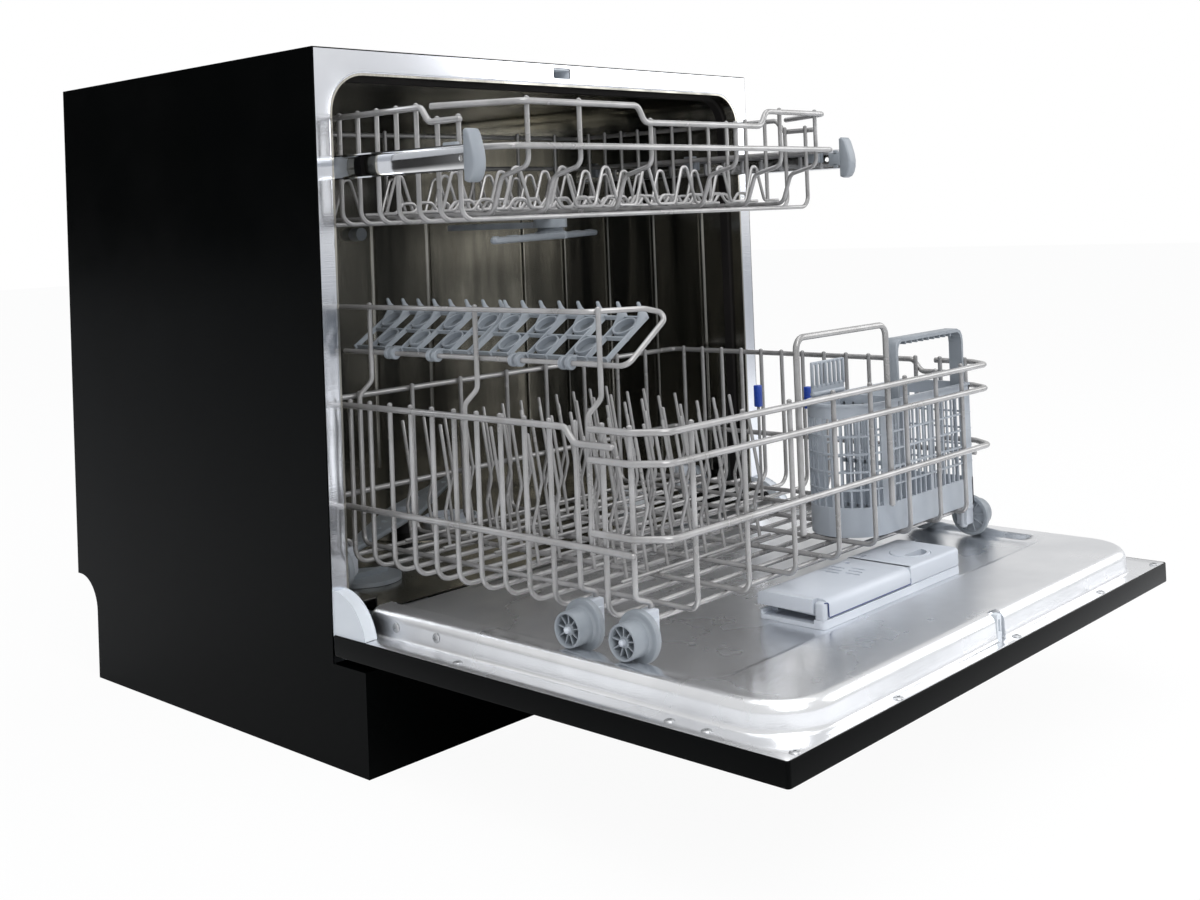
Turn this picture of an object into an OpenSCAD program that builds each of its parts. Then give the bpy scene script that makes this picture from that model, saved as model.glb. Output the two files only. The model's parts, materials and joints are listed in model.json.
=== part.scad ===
// Countertop dishwasher, door open and both racks drawn out.
// +X is to the right, +Y to the rear, +Z up. The origin is the middle of the base's underside.

/* [Cabinet] */
// Width over the side panels
cabinet_w = 595; // [560:1:620]
// Height over the top panel
cabinet_h = 614; // [600:1:640]
// Depth from the plinth's face to the rear edge of the side panels
cabinet_d = 500; // [490:1:560]
// How far the plinth's face stands ahead of the tub's front frame
plinth_lead = 45; // [30:1:60]
// Height of the plinth below the door
plinth_h = 88; // [80:1:90]
// Sheet thickness of the painted panels
panel_t = 1.2; // [0.8:0.1:1.5]
// Height of the notch for hoses at the lower rear
notch_h = 103; // [95:1:115]
// Depth of that notch
notch_d = 40; // [36:1:50]
// Radius of the notch's inner corner
notch_r = 34; // [20:1:36]
// Diameter of a levelling foot
foot_d = 34; // [28:1:40]
// Height of a levelling foot inside the base
foot_h = 16; // [12:1:20]

/* [Tub] */
// Width of the front frame beside the opening
frame_side = 18.5; // [16:0.5:22]
// Height of the front frame above the opening
frame_top = 23; // [20:0.5:30]
// Radius of the opening's upper corners
tub_corner_r = 34; // [25:1:45]
// Sheet thickness of the tub
tub_t = 1; // [0.6:0.1:1.4]
// Inside depth of the tub
tub_depth = 441; // [438:1:446]
// Height of the tub's floor
floor_z = 122; // [118:1:126]
// Height of the ledges that the lower rack's wheels run on
ledge_z = 134; // [131:1:137]
// Width of each ledge
ledge_w = 29; // [26:1:30]
// Radius of the pressed ribs in the tub's walls
rib_r = 6; // [4:0.5:8]
// How far a pressed rib stands out of the wall
rib_out = 2; // [1:0.5:3]
// Width of the door latch's slot
latch_w = 24; // [18:1:30]
// Height of the door latch's slot
latch_h = 11; // [8:1:11]
// Height of that slot above the opening
latch_rise = 8; // [6:0.5:9]
// Thickness of the door seal
seal_t = 4; // [3:0.5:5]
// Width of the door seal
seal_w = 10; // [8:1:14]
// Diameter of the sump's mouth in the floor
sump_d = 150; // [130:2:170]

/* [Door] */
// Thickness of the door at its edge
door_t = 18; // [16:0.5:22]
// Reach of the open door from the hinge to its free edge
door_reach = 481; // [470:1:484]
// Distance from the hinge axis to the door's near edge
door_start = 2; // [2:0.5:6]
// Height of the hinge axis
hinge_z = 120.4; // [119:0.2:122]
// Gap between the closed door's rim and the tub's frame
door_gap = 8; // [7:0.5:9]
// Sheet thickness of the door's outer panel
door_skin_t = 1.2; // [0.8:0.1:2]
// Sheet thickness of the steel liner
liner_t = 0.8; // [0.6:0.1:1.2]
// Height of the liner's raised tray
tray_h = 21.5; // [21:0.5:22]
// Width of the liner's flat rim beside the tray
rim_side = 22.5; // [20:0.5:26]
// Width of the liner's flat rim at the free edge
rim_front = 12; // [10:0.5:16]
// Radius of the tray's outer corners
tray_r = 48; // [30:1:60]
// Depth of the recess in the tray
recess_deep = 7; // [5:0.5:8]
// Distance from the hinge to the tray's near end
tray_start = 20; // [18:1:24]
// Diameter of the hinge pins
hinge_pin_d = 8; // [6:0.5:10]
// Diameter of the screw heads
screw_d = 8; // [6:0.5:9]

/* [Dispenser] */
// Length of the detergent dispenser
disp_w = 212; // [200:1:220]
// Depth of the detergent dispenser
disp_l = 66; // [60:1:70]
// Height of the dispenser above the recess
disp_h = 22.5; // [20:0.5:24]
// Length of the detergent flap
flap_w = 128; // [110:1:140]
// Diameter of the rinse-aid cap
cap_d = 36; // [30:1:40]

/* [Lower rack] */
// Distance from the tub's walls to the lower rack's rim wires
lr_gap = 29; // [28:0.5:34]
// Depth of the lower rack
lr_l = 420; // [400:1:424]
// Height of the top rim
lr_top_z = 299; // [285:1:315]
// Height of the second front rim
lr_mid_z = 276; // [260:1:280]
// Height of the third front rim
lr_low_z = 221; // [215:1:235]
// Height of the lower side rim
lr_side_z = 209; // [200:1:212]
// Height of the floor wires
lr_floor_z = 157; // [156:0.5:160]
// How far the lower rack is drawn out
lr_out = 350; // [340:1:352]
// Diameter of the rim wires
rim_wire_d = 5.5; // [5:0.1:6]
// Diameter of the upright and floor wires
rib_wire_d = 4.4; // [4:0.1:4.8]
// Diameter of the tine wires
tine_wire_d = 3.2; // [2.8:0.1:3.6]
// Spacing of the upright wires along the sides
rib_pitch = 28.5; // [28:0.1:29]
// Spacing of the tines
tine_pitch = 25; // [22:0.5:28]
// Height of the tine tips
tine_top_z = 274; // [255:1:280]
// Length of the sloping front corners
lr_corner = 24; // [20:1:25]

/* [Wheels] */
// Diameter of a wheel's rolling hub
hub_d = 27.4; // [26:0.2:28]
// Diameter of a wheel's guide flange
flange_d = 40; // [34:1:40]
// Width of the rolling hub
hub_w = 16; // [12:0.5:16]
// Width of the guide flange
flange_w = 6; // [4:0.5:6]
// Diameter of a wheel's axle
axle_d = 5; // [4:0.5:6]

/* [Upper rack] */
// Distance from the tub's walls to the upper rack's rim wires
ur_gap = 31; // [29:0.5:34]
// Front-to-back length of the upper rack
ur_l = 400; // [380:1:410]
// Distance from the top of the tub's opening down to the top rim
ur_drop = 35; // [26:1:41]
// How far the middle of the front rim is lowered
ur_dip = 15; // [11:1:21]
// Distance from the top rim down to the middle rim
ur_mid_drop = 37; // [34:1:41]
// Distance from the top rim down to the floor wires
ur_deep = 96; // [92:1:100]
// How far the upper rack is drawn out
ur_out = 185; // [180:1:195]
// Height of the slide rails
rail_h = 21; // [20:0.5:24]
// Distance from the top rim down to the rails' middle
rail_drop = 46; // [44:1:48]
// Length of the slide rails
rail_l = 400; // [380:1:405]
// Width of the slide rails
rail_w = 12; // [11:0.5:13]
// Sheet thickness of the slide rails
rail_t = 1.2; // [1:0.1:1.6]

/* [Spray arms] */
// Length of the upper spray arm
upper_arm_l = 390; // [300:2:396]
// Length of the lower spray arm
lower_arm_l = 400; // [360:2:420]
// Distance from the upper rack's floor wires down to the upper arm's blade
upper_arm_drop = 23; // [21:1:25]
// Height of the lower arm's blade
lower_arm_z = 140; // [138:1:142]

/* [Cup shelf] */
// Height of the wire that the shelves turn on
shelf_z = 345; // [335:1:350]
// Height of the guard wire above it
guard_z = 386; // [376:1:392]
// Angle of the shelves above level
shelf_tilt = 33; // [30:1:36]
// Depth of a shelf from its hinge
shelf_deep = 62; // [56:1:66]
// Length of each shelf
shelf_l = 158; // [150:1:158]

/* [Cutlery basket] */
// Length of the basket
basket_w = 190; // [180:1:195]
// Depth of the basket
basket_l = 76; // [70:1:80]
// Height of the basket's wall
basket_h = 118; // [105:1:125]
// Height of the handle's top above the basket
handle_h = 54; // [46:1:60]
// Wall thickness of the basket
basket_t = 2; // [1.6:0.1:2.6]

/* [Hidden] */

// Roundness of drawn curves
$fn = 32;
// Extra length that lets a cut run past a face
eps = 1;
// Running clearance of a pin in its hole
fit = 0.08;
// Clearance between curved pieces that lie on each other
rest_gap = 0.3;
// Clearance between wires of one rack where they cross
wire_gap = 0.06;
// How much fuller a wire is in a bend than along its legs
bend_swell = 0.06;
// How far a leg runs into the bend that ends it
bend_lap = 0.3;

// Places worked out from the sizes above
front_y = -cabinet_d / 2 + plinth_lead;
rear_y = cabinet_d / 2;
half_w = cabinet_w / 2;
inner_w = half_w - panel_t;
open_w = half_w - frame_side;
open_z = cabinet_h - frame_top;
ledge_x = open_w - ledge_w;
base_rear_y = rear_y - notch_d;
tub_rear_y = front_y + tub_depth;
liner_z = hinge_z - door_gap;
door_low_z = liner_z - door_t;
tray_z = liner_z + tray_h;
tray_x = half_w - rim_side;
recess_z = tray_z - recess_deep;
ur_top_z = open_z - ur_drop;
ur_dip_z = ur_top_z - ur_dip;
ur_mid_z = ur_top_z - ur_mid_drop;
ur_floor_z = ur_top_z - ur_deep;
rail_z = ur_top_z - rail_drop;
upper_arm_z = ur_floor_z - upper_arm_drop;

steel = "silver";
wire_grey = "gainsboro";
plastic_grey = "lightslategray";
black = "#111111";

// ---- helpers ----

function unit(v) = v / norm(v);

// Places its children with their Z axis along the line from a to b
module along(a, b) {
    z = unit(b - a);
    x = unit(abs(z[2]) < 0.9 ? cross([0, 0, 1], z) : cross([1, 0, 0], z));
    y = cross(z, x);
    multmatrix([[x[0], y[0], z[0], a[0]], [x[1], y[1], z[1], a[1]], [x[2], y[2], z[2], a[2]], [0, 0, 0, 1]])
        children();
}

// Bend of a round wire at corner p between directions u and v
module wire_bend(p, u, v, d, r) {
    turn = acos(max(-1, min(1, u * v)));
    n = unit(v - (v * u) * u);
    c = p - u * r * tan(turn / 2) + n * r;
    x = -n;
    z = cross(x, u);
    multmatrix([[x[0], u[0], z[0], c[0]], [x[1], u[1], z[1], c[1]], [x[2], u[2], z[2], c[2]], [0, 0, 0, 1]])
        rotate_extrude(angle = turn)
            translate([r, 0]) circle(d = d + bend_swell);
}

// Length that a bend of radius r takes off each leg at corner i of the path, less the lap into the bend
function cut_back(path, i, r) =
    i == 0 || i == len(path) - 1 ? 0
    : r * tan(acos(max(-1, min(1, unit(path[i] - path[i - 1]) * unit(path[i + 1] - path[i])))) / 2) - bend_lap;

// Round wire through the points of path, with every corner bent to radius r
module wire(path, d, r) {
    for (i = [0 : len(path) - 2]) {
        u = unit(path[i + 1] - path[i]);
        a = path[i] + u * cut_back(path, i, r);
        b = path[i + 1] - u * cut_back(path, i + 1, r);
        along(a, b) cylinder(d = d, h = norm(b - a));
    }
    for (i = [1 : 1 : len(path) - 2])
        wire_bend(path[i], unit(path[i] - path[i - 1]), unit(path[i + 1] - path[i]), d, r);
}

// Copies its children to the left and the right
module both_sides() {
    children();
    mirror([1, 0, 0]) children();
}

// Box between two corners
module box(low, high) {
    translate(low) cube(high - low);
}

// Upright-sided plate with rounded corners, between two corners
module round_box(low, high, r) {
    s = high - low;
    translate([low[0], low[1], low[2]])
        linear_extrude(s[2])
            round_rect(s[0], s[1], r);
}

// Rectangle from the origin with four rounded corners
module round_rect(w, l, r) {
    translate([r, 0]) square([w - 2 * r, l]);
    translate([0, r]) square([w, l - 2 * r]);
    for (x = [r, w - r], y = [r, l - r])
        translate([x, y]) circle(r = r);
}

// Extrudes an outline drawn in X and Z from y to y + h
module extrude_y(y, h) {
    translate([0, y + h, 0]) rotate([90, 0, 0]) linear_extrude(h) children();
}

// Extrudes an outline drawn in Y and Z from x to x + w
module extrude_x(x, w) {
    translate([x, 0, 0]) rotate([90, 0, 90]) linear_extrude(w) children();
}

// ---- cabinet ----

module side_outline() {
    difference() {
        translate([front_y, 0]) square([rear_y - front_y, cabinet_h]);
        translate([base_rear_y, -eps]) square([notch_d + eps, notch_h - notch_r + eps]);
        translate([base_rear_y + notch_r, -eps]) square([notch_d, notch_h + eps]);
        translate([base_rear_y + notch_r, notch_h - notch_r]) circle(r = notch_r);
    }
}

module side_panel_right() {
    color(black) extrude_x(inner_w, panel_t) side_outline();
}

module side_panel_left() {
    mirror([1, 0, 0]) side_panel_right();
}

module top_panel() {
    color(black)
        box([-inner_w, front_y, cabinet_h - panel_t], [inner_w, rear_y, cabinet_h]);
}

module back_panel() {
    color("dimgray")
        box([-inner_w, rear_y - panel_t, notch_h], [inner_w, rear_y, cabinet_h - panel_t]);
}

module plinth_panel() {
    face_y = -cabinet_d / 2;
    color(black) {
        box([-half_w, face_y, 0], [half_w, face_y + panel_t, plinth_h]);
        both_sides()
            box([inner_w, face_y + panel_t, 0], [half_w, front_y, plinth_h]);
        box([-inner_w, face_y + panel_t, plinth_h - panel_t], [inner_w, front_y, plinth_h]);
    }
}

// Places a foot's children near each corner of the base
module foot_places() {
    inset = foot_d;
    for (x = [-inner_w + inset, inner_w - inset], y = [-cabinet_d / 2 + inset, base_rear_y - inset])
        translate([x, y, 0]) children();
}

inlet_x = 175;
inlet_z = 35;
inlet_d = 26;

module base_tray() {
    color(black)
        difference() {
            box([-inner_w, -cabinet_d / 2 + panel_t, 0], [inner_w, base_rear_y, plinth_h - panel_t]);
            box([-inner_w + panel_t, -cabinet_d / 2 + 2 * panel_t, panel_t],
                [inner_w - panel_t, base_rear_y - panel_t, plinth_h]);
            foot_places()
                translate([0, 0, -eps]) cylinder(d = foot_d + 2 * fit, h = panel_t + 2 * eps);
            translate([inlet_x, base_rear_y - 2 * panel_t, inlet_z])
                rotate([-90, 0, 0]) cylinder(d = inlet_d + 2 * fit, h = 4 * panel_t);
        }
}

module feet() {
    color("#222222") foot_places() cylinder(d = foot_d, h = foot_h);
}

// ---- tub ----

// Outline of the tub's inside in X and Z, grown by g
module tub_outline(g) {
    r = tub_corner_r + g;
    corner_x = open_w - tub_corner_r;
    corner_z = open_z - tub_corner_r;
    difference() {
        union() {
            translate([-open_w - g, floor_z - g])
                square([2 * (open_w + g), corner_z - floor_z + g]);
            translate([-corner_x, floor_z - g])
                square([2 * corner_x, open_z - floor_z + 2 * g]);
            for (x = [-corner_x, corner_x])
                translate([x, corner_z]) circle(r = r);
        }
        for (s = [-1, 1])
            translate([s > 0 ? ledge_x + g : -open_w - g - eps, floor_z - g - eps])
                square([ledge_w + eps, ledge_z - floor_z + eps]);
    }
}

module frame_outline() {
    side_low_z = hinge_z + 25;
    difference() {
        union() {
            translate([-inner_w, side_low_z])
                square([2 * inner_w, cabinet_h - panel_t - side_low_z]);
            translate([-open_w - tub_t, ledge_z - tub_t])
                square([2 * (open_w + tub_t), side_low_z]);
            translate([-ledge_x - tub_t, floor_z - tub_t])
                square([2 * (ledge_x + tub_t), side_low_z]);
        }
        tub_outline(0);
        translate([-latch_w / 2, open_z + latch_rise]) round_rect(latch_w, latch_h, latch_h / 5);
    }
}

sump_y = front_y + 235;

// Upright pressed ribs, as bars that a wall's face cuts
module tub_ribs() {
    low = ledge_z + 20;
    high = rail_z - rail_h - 30;
    side_pitch = 78;
    rear_pitch = 88;
    for (i = [0 : 4])
        both_sides()
            translate([open_w + rib_r - rib_out, front_y + 60 + i * side_pitch, low])
                cylinder(r = rib_r, h = high - low);
    for (i = [-2 : 2])
        translate([i * rear_pitch, tub_rear_y + rib_r - rib_out, low])
            cylinder(r = rib_r, h = high - low);
}

module tub() {
    color(steel)
        difference() {
            union() {
                difference() {
                    extrude_y(front_y, tub_depth + tub_t) tub_outline(tub_t);
                    extrude_y(front_y - eps, tub_depth + eps) tub_outline(0);
                    both_sides() ledge_block();
                }
                extrude_y(front_y, tub_t) frame_outline();
                tub_ribs();
            }
            translate([0, sump_y, floor_z - tub_t - eps]) cylinder(d = sump_d, h = tub_t + 2 * eps);
            translate([softener_x, softener_y, floor_z - tub_t - eps])
                cylinder(d = neck_d, h = tub_t + 2 * eps);
            translate([feed_x, tub_rear_y - eps, outlet_z])
                rotate([-90, 0, 0]) cylinder(d = outlet_d + 2 * fit, h = tub_t + 2 * eps);
        }
}

// Space that the ledge strip on the right side takes out of the tub's sheet
module ledge_block() {
    box([ledge_x, front_y + tub_t, floor_z - tub_t], [open_w, tub_rear_y, ledge_z]);
}

// Angle strips along the tub's sides, which the lower rack's wheels run on
module tub_ledges() {
    color(steel)
        both_sides() {
            box([ledge_x, front_y + tub_t, ledge_z - tub_t], [open_w, tub_rear_y, ledge_z]);
            box([ledge_x, front_y + tub_t, floor_z - tub_t], [ledge_x + tub_t, tub_rear_y, ledge_z]);
        }
}

module door_seal() {
    start = 16;
    low_z = hinge_z + 30;
    color(black)
        intersection() {
            extrude_y(front_y + start, seal_w)
                difference() {
                    tub_outline(0);
                    tub_outline(-seal_t);
                }
            box([-half_w, front_y, low_z], [half_w, rear_y, cabinet_h]);
        }
}

// Housing of the door catch behind the slot in the front frame
module latch_catch() {
    w = latch_w + 20;
    l = 30;
    wall = 2;
    low_z = open_z + tub_t;
    slot_z = open_z + latch_rise;
    color("whitesmoke")
        difference() {
            box([-w / 2, front_y + tub_t, low_z], [w / 2, front_y + tub_t + l, cabinet_h - panel_t]);
            box([-latch_w / 2, front_y, slot_z], [latch_w / 2, front_y + l - wall, slot_z + latch_h - wall]);
        }
}

hinge_arm_t = 3;
hinge_arm_x = tray_x - liner_t - hinge_arm_t - 0.3;
bracket_x = hinge_arm_x + hinge_arm_t + 1.5;
bracket_t = 3;
bracket_lead = 8;

module hinge_brackets() {
    color("gray")
        both_sides() {
            box([bracket_x, front_y - bracket_lead, liner_z + 2],
                [bracket_x + bracket_t, front_y + 60, ledge_z - tub_t]);
            translate([hinge_arm_x - 2, front_y, hinge_z])
                rotate([0, 90, 0]) cylinder(d = hinge_pin_d, h = bracket_x - hinge_arm_x + 2 + eps);
        }
}

cover_t = 12;
cover_r = 44;
cover_z = hinge_z - 16;

// Quarter disc in front of the frame, from x0 to x1
module quarter_disc(x0, x1, r) {
    intersection() {
        translate([x0, front_y, cover_z]) rotate([0, 90, 0]) cylinder(r = r, h = x1 - x0);
        box([0, front_y - r, liner_z + rest_gap], [half_w, front_y, cabinet_h]);
    }
}

module hinge_covers() {
    color("whitesmoke") both_sides() quarter_disc(inner_w - cover_t, inner_w, cover_r);
}

module corner_seals() {
    color(black)
        both_sides()
            quarter_disc(bracket_x + bracket_t + rest_gap, inner_w - cover_t, cover_r - 8);
}

// ---- under the tub ----

sump_wall = 3;
sump_deep = 70;
filter_x = 28;
filter_d = 62;
post_d = 30;

module sump() {
    top_z = floor_z - tub_t;
    color("dimgray") {
        difference() {
            translate([0, sump_y, top_z - sump_deep]) cylinder(d = sump_d + 2 * sump_wall, h = sump_deep);
            translate([0, sump_y, top_z - sump_deep + sump_wall])
                cylinder(d = sump_d, h = sump_deep);
        }
        translate([-filter_x - 10, sump_y, top_z - sump_deep + sump_wall])
            cylinder(d = post_d, h = lower_arm_z - 6 - (top_z - sump_deep + sump_wall));
    }
}

module filter_plate() {
    z = floor_z;
    color(steel)
        difference() {
            translate([0, sump_y, z]) cylinder(d = sump_d + 16, h = 1);
            translate([filter_x, sump_y, z - eps]) cylinder(d = filter_d + 2 * rest_gap, h = 3);
            translate([-filter_x - 10, sump_y, z - eps]) cylinder(d = post_d + 2 * rest_gap, h = 3);
        }
}

module filter_cup() {
    z = floor_z - tub_t - sump_deep + sump_wall + rest_gap;
    top = floor_z + 6;
    color("lightsteelblue")
        translate([filter_x, sump_y, 0])
            difference() {
                union() {
                    translate([0, 0, z]) cylinder(d = filter_d, h = top - z);
                }
                translate([0, 0, z + 2]) cylinder(d = filter_d - 4, h = top - z);
            }
    color("lightsteelblue")
        box([filter_x - filter_d / 2 + 1, sump_y - 2, top - 8], [filter_x + filter_d / 2 - 1, sump_y + 2, top]);
}

float_y = front_y + 90;
float_x = open_w - 109;

module float_dome() {
    color("whitesmoke") {
        translate([float_x, float_y, floor_z + rest_gap]) cylinder(d = 34, h = 18);
        translate([float_x, float_y, floor_z + rest_gap + 18]) cylinder(d1 = 34, d2 = 20, h = 4);
    }
}

// Blade with jets, drawn from the middle outwards
module arm_blade(l, w, h, jets) {
    difference() {
        union() {
            for (s = [-1, 1])
                linear_extrude(h)
                    polygon([[0, -w / 2], [s * l / 2 * 0.9, -w / 4], [s * l / 2, -w / 8], [s * l / 2, w / 8],
                        [s * l / 2 * 0.9, w / 4], [0, w / 2]]);
        }
        for (i = [1 : jets], s = [-1, 1])
            translate([s * (l / 2 - 12) * i / jets, 0, h - 1]) cylinder(d = 3, h = 2);
    }
}

module lower_spray_arm() {
    bore = post_d - 12;
    color("lightslategray")
        translate([-filter_x - 10, sump_y, lower_arm_z - 6 + rest_gap]) {
            cylinder(d = post_d + 8, h = 6 - rest_gap);
            translate([0, 0, 6 - rest_gap]) rotate([0, 0, 35]) arm_blade(lower_arm_l, 44, 7, 6);
            translate([0, 0, 6 - rest_gap]) cylinder(d = post_d, h = 10);
        }
}

// Outside of the sump, which the pumps are seated on
module sump_outside() {
    translate([0, sump_y, 0]) cylinder(d = sump_d + 2 * sump_wall, h = floor_z);
}

module circulation_pump() {
    y = sump_y - 40;
    z = 62;
    motor_d = 84;
    color("dimgray")
        difference() {
            union() {
                translate([-150, y, z]) rotate([0, 90, 0]) cylinder(d = motor_d, h = 60);
                translate([-200, y, z]) rotate([0, 90, 0]) cylinder(d = motor_d - 18, h = 50);
                translate([-90, y + 10, z + 8]) rotate([0, 90, 0]) cylinder(d = 28, h = 40);
            }
            sump_outside();
        }
}

module drain_pump() {
    color("dimgray")
        difference() {
            translate([40, sump_y - 60, 76]) rotate([0, 90, 0]) cylinder(d = 46, h = 110);
            sump_outside();
        }
}

module inlet_valve() {
    w = 50;
    l = 80;
    wall_y = base_rear_y - panel_t;
    color("whitesmoke") {
        box([inlet_x - w / 2, wall_y - l, inlet_z - 23], [inlet_x + w / 2, wall_y, inlet_z + 23]);
        translate([inlet_x, wall_y - eps, inlet_z]) rotate([-90, 0, 0]) cylinder(d = inlet_d, h = 14);
    }
}

softener_x = -open_w + 89;
softener_y = front_y + 95;
neck_d = 56;

module water_softener() {
    tank_h = 96;
    color("whitesmoke")
        difference() {
            union() {
                box([softener_x - 55, softener_y - 35, 10], [softener_x + 55, softener_y + 35, tank_h]);
                translate([softener_x, softener_y, tank_h - eps])
                    cylinder(d = neck_d + 12, h = floor_z - tub_t - tank_h + eps);
            }
            translate([softener_x, softener_y, tank_h - 40]) cylinder(d = neck_d, h = 80);
        }
}

module salt_cap() {
    color("lightslategray")
        translate([softener_x, softener_y, floor_z + rest_gap]) {
            translate([0, 0, -14]) cylinder(d = neck_d - 2 * rest_gap, h = 14 + eps);
            cylinder(d = neck_d + 8, h = 4);
            translate([-22, -3, 4 - eps]) cube([44, 6, 6]);
        }
}

feed_x = 60;
outlet_d = 16;
outlet_z = ur_floor_z - 12;

// Flat water duct under the floor and up the outside of the rear wall
module feed_tube() {
    w = 24;
    thick = 9;
    low_z = notch_h + 3;
    wall_y = tub_rear_y + tub_t;
    color("lightslategray") {
        difference() {
            box([feed_x - w / 2, sump_y, low_z], [feed_x + w / 2, wall_y + thick, low_z + 12]);
            sump_outside();
        }
        box([feed_x - w / 2, wall_y, low_z], [feed_x + w / 2, wall_y + thick, outlet_z + 16]);
        translate([feed_x, tub_rear_y - 16, outlet_z])
            rotate([-90, 0, 0]) cylinder(d = outlet_d, h = 16 + tub_t + eps);
    }
}

rail_web_x = open_w - ur_gap + 8;
roller_d = rail_h - 2 * rail_t - 2 * rest_gap;

// Pair of rollers on the tub's walls, one on each side
module roller_pair(y) {
    w = rail_w - rail_t - 3;
    color("whitesmoke")
        both_sides()
            translate([rail_web_x + rail_t + 1.5, y, rail_z])
                rotate([0, 90, 0]) {
                    cylinder(d = roller_d, h = w);
                    cylinder(d = 8, h = open_w - rail_web_x - rail_t - 1.5 - rest_gap);
                }
}

module rollers_front() {
    roller_pair(front_y + 45);
}

module rollers_rear() {
    roller_pair(front_y + 105);
}

// ---- door ----

// Box in the open door: x range, distances from the hinge, heights
module door_box(x0, x1, s0, s1, z0, z1) {
    box([x0, front_y - s1, z0], [x1, front_y - s0, z1]);
}

module door_outer() {
    color(black)
        difference() {
            door_box(-half_w, half_w, door_start, door_reach, door_low_z, liner_z);
            door_box(-half_w + door_skin_t, half_w - door_skin_t, door_start + door_skin_t,
                door_reach - door_skin_t, door_low_z + door_skin_t, liner_z + eps);
            both_sides()
                door_box(hinge_arm_x - 1, hinge_arm_x + hinge_arm_t + 1, -eps, door_start + door_skin_t + eps,
                    door_low_z + door_skin_t, liner_z + eps);
        }
}

// Raised tray of the liner as a solid block, shrunk by g
module tray_block(g) {
    translate([0, front_y, liner_z - eps])
        linear_extrude(tray_h + eps - g)
            difference() {
                translate([-tray_x + g, -door_reach + rim_front + g])
                    round_rect(2 * (tray_x - g), door_reach - rim_front - g + tray_r, tray_r - g);
                translate([-tray_x, -tray_start - g]) square([2 * tray_x, tray_start + 2 * tray_r]);
            }
}

recess_x = tray_x - 24;
recess_s = door_reach - rim_front - 82;
recess_slope = 16;

// Recess in the tray, with a sloping front end, grown by g
module recess_block(g) {
    extrude_x(-recess_x - g, 2 * (recess_x + g))
        polygon([[front_y + g, recess_z - g], [front_y - recess_s + recess_slope, recess_z - g],
            [front_y - recess_s - g, tray_z + eps], [front_y + g, tray_z + eps]]);
}

// Flat floor of the recess as a block, through the liner's sheet
module panel_block() {
    door_box(-recess_x, recess_x, tray_start, recess_s - recess_slope, recess_z - liner_t, recess_z);
}

strike_w = 12;

// Pocket for the latch strike in the tray's front wall, grown by g
module strike_pocket(g) {
    deep = 8;
    s1 = door_reach - rim_front;
    door_box(-strike_w / 2 - g, strike_w / 2 + g, s1 - deep - g, s1 + eps, liner_z - (g > 0 ? 2 : 0), tray_z + eps);
}

// Steel sheet on the inside of the door, around the floor of its recess
module door_liner() {
    edge = door_skin_t;
    cover_cut = cover_r + 4;
    color(steel)
        difference() {
            union() {
                door_box(-half_w + edge, half_w - edge, door_start + edge, door_reach - edge,
                    liner_z - liner_t, liner_z);
                tray_block(0);
            }
            difference() {
                translate([0, 0, -eps]) tray_block(liner_t);
                recess_block(liner_t);
                strike_pocket(liner_t);
            }
            recess_block(0);
            panel_block();
            strike_pocket(0);
            both_sides() {
                door_box(tray_x + 1, half_w, -eps, cover_cut, liner_z - 2 * liner_t, liner_z + eps);
                door_box(hinge_arm_x - 1, bracket_x + bracket_t + 1, -eps, tray_start + 2,
                    liner_z - 2 * liner_t, tray_z - 4);
            }
        }
}

// Floor of the recess, which carries the dispenser
module liner_panel() {
    color(steel) panel_block();
}

screw_h = 1.4;

module door_screws() {
    front_s = door_reach - rim_front / 2;
    side_x = half_w - rim_side / 2;
    color("lightgray") {
        for (x = [-side_x + 4, -160, 14, 168, side_x - 4])
            translate([x, front_y - front_s, liner_z]) cylinder(d = screw_d, h = screw_h);
        for (s = [150, door_reach - 109, door_reach - 76], x = [-side_x, side_x])
            translate([x, front_y - s, liner_z]) cylinder(d = screw_d, h = screw_h);
        for (s = [58, 110])
            both_sides()
                translate([tray_x, front_y - s, liner_z + tray_h / 2])
                    rotate([0, 90, 0]) cylinder(d = screw_d, h = screw_h);
    }
}

module hinge_arms() {
    color("gray")
        both_sides()
            difference() {
                union() {
                    door_box(hinge_arm_x, hinge_arm_x + hinge_arm_t, 0, 170,
                        door_low_z + door_skin_t, tray_z - liner_t - recess_deep);
                    translate([hinge_arm_x, front_y, hinge_z])
                        rotate([0, 90, 0]) cylinder(d = hinge_pin_d + 8, h = hinge_arm_t);
                }
                translate([hinge_arm_x - eps, front_y, hinge_z])
                    rotate([0, 90, 0]) cylinder(d = hinge_pin_d + 2 * fit, h = hinge_arm_t + 2 * eps);
            }
}

module latch_strike() {
    s1 = door_reach - rim_front;
    color("whitesmoke")
        difference() {
            door_box(-3.5, 3.5, s1 - 7, s1 - 1.5, liner_z, tray_z - 2);
            door_box(-1.5, 1.5, s1 - 8, s1, liner_z + 6, tray_z - 6);
        }
}

disp_x = -98;
disp_s = door_reach - 178;
disp_top_z = recess_z + disp_h;
flap_seam_z = recess_z + 7;
flap_knuckle_r = 2;
cap_x = disp_x + 172;
cap_s = disp_s + 38;

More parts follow.
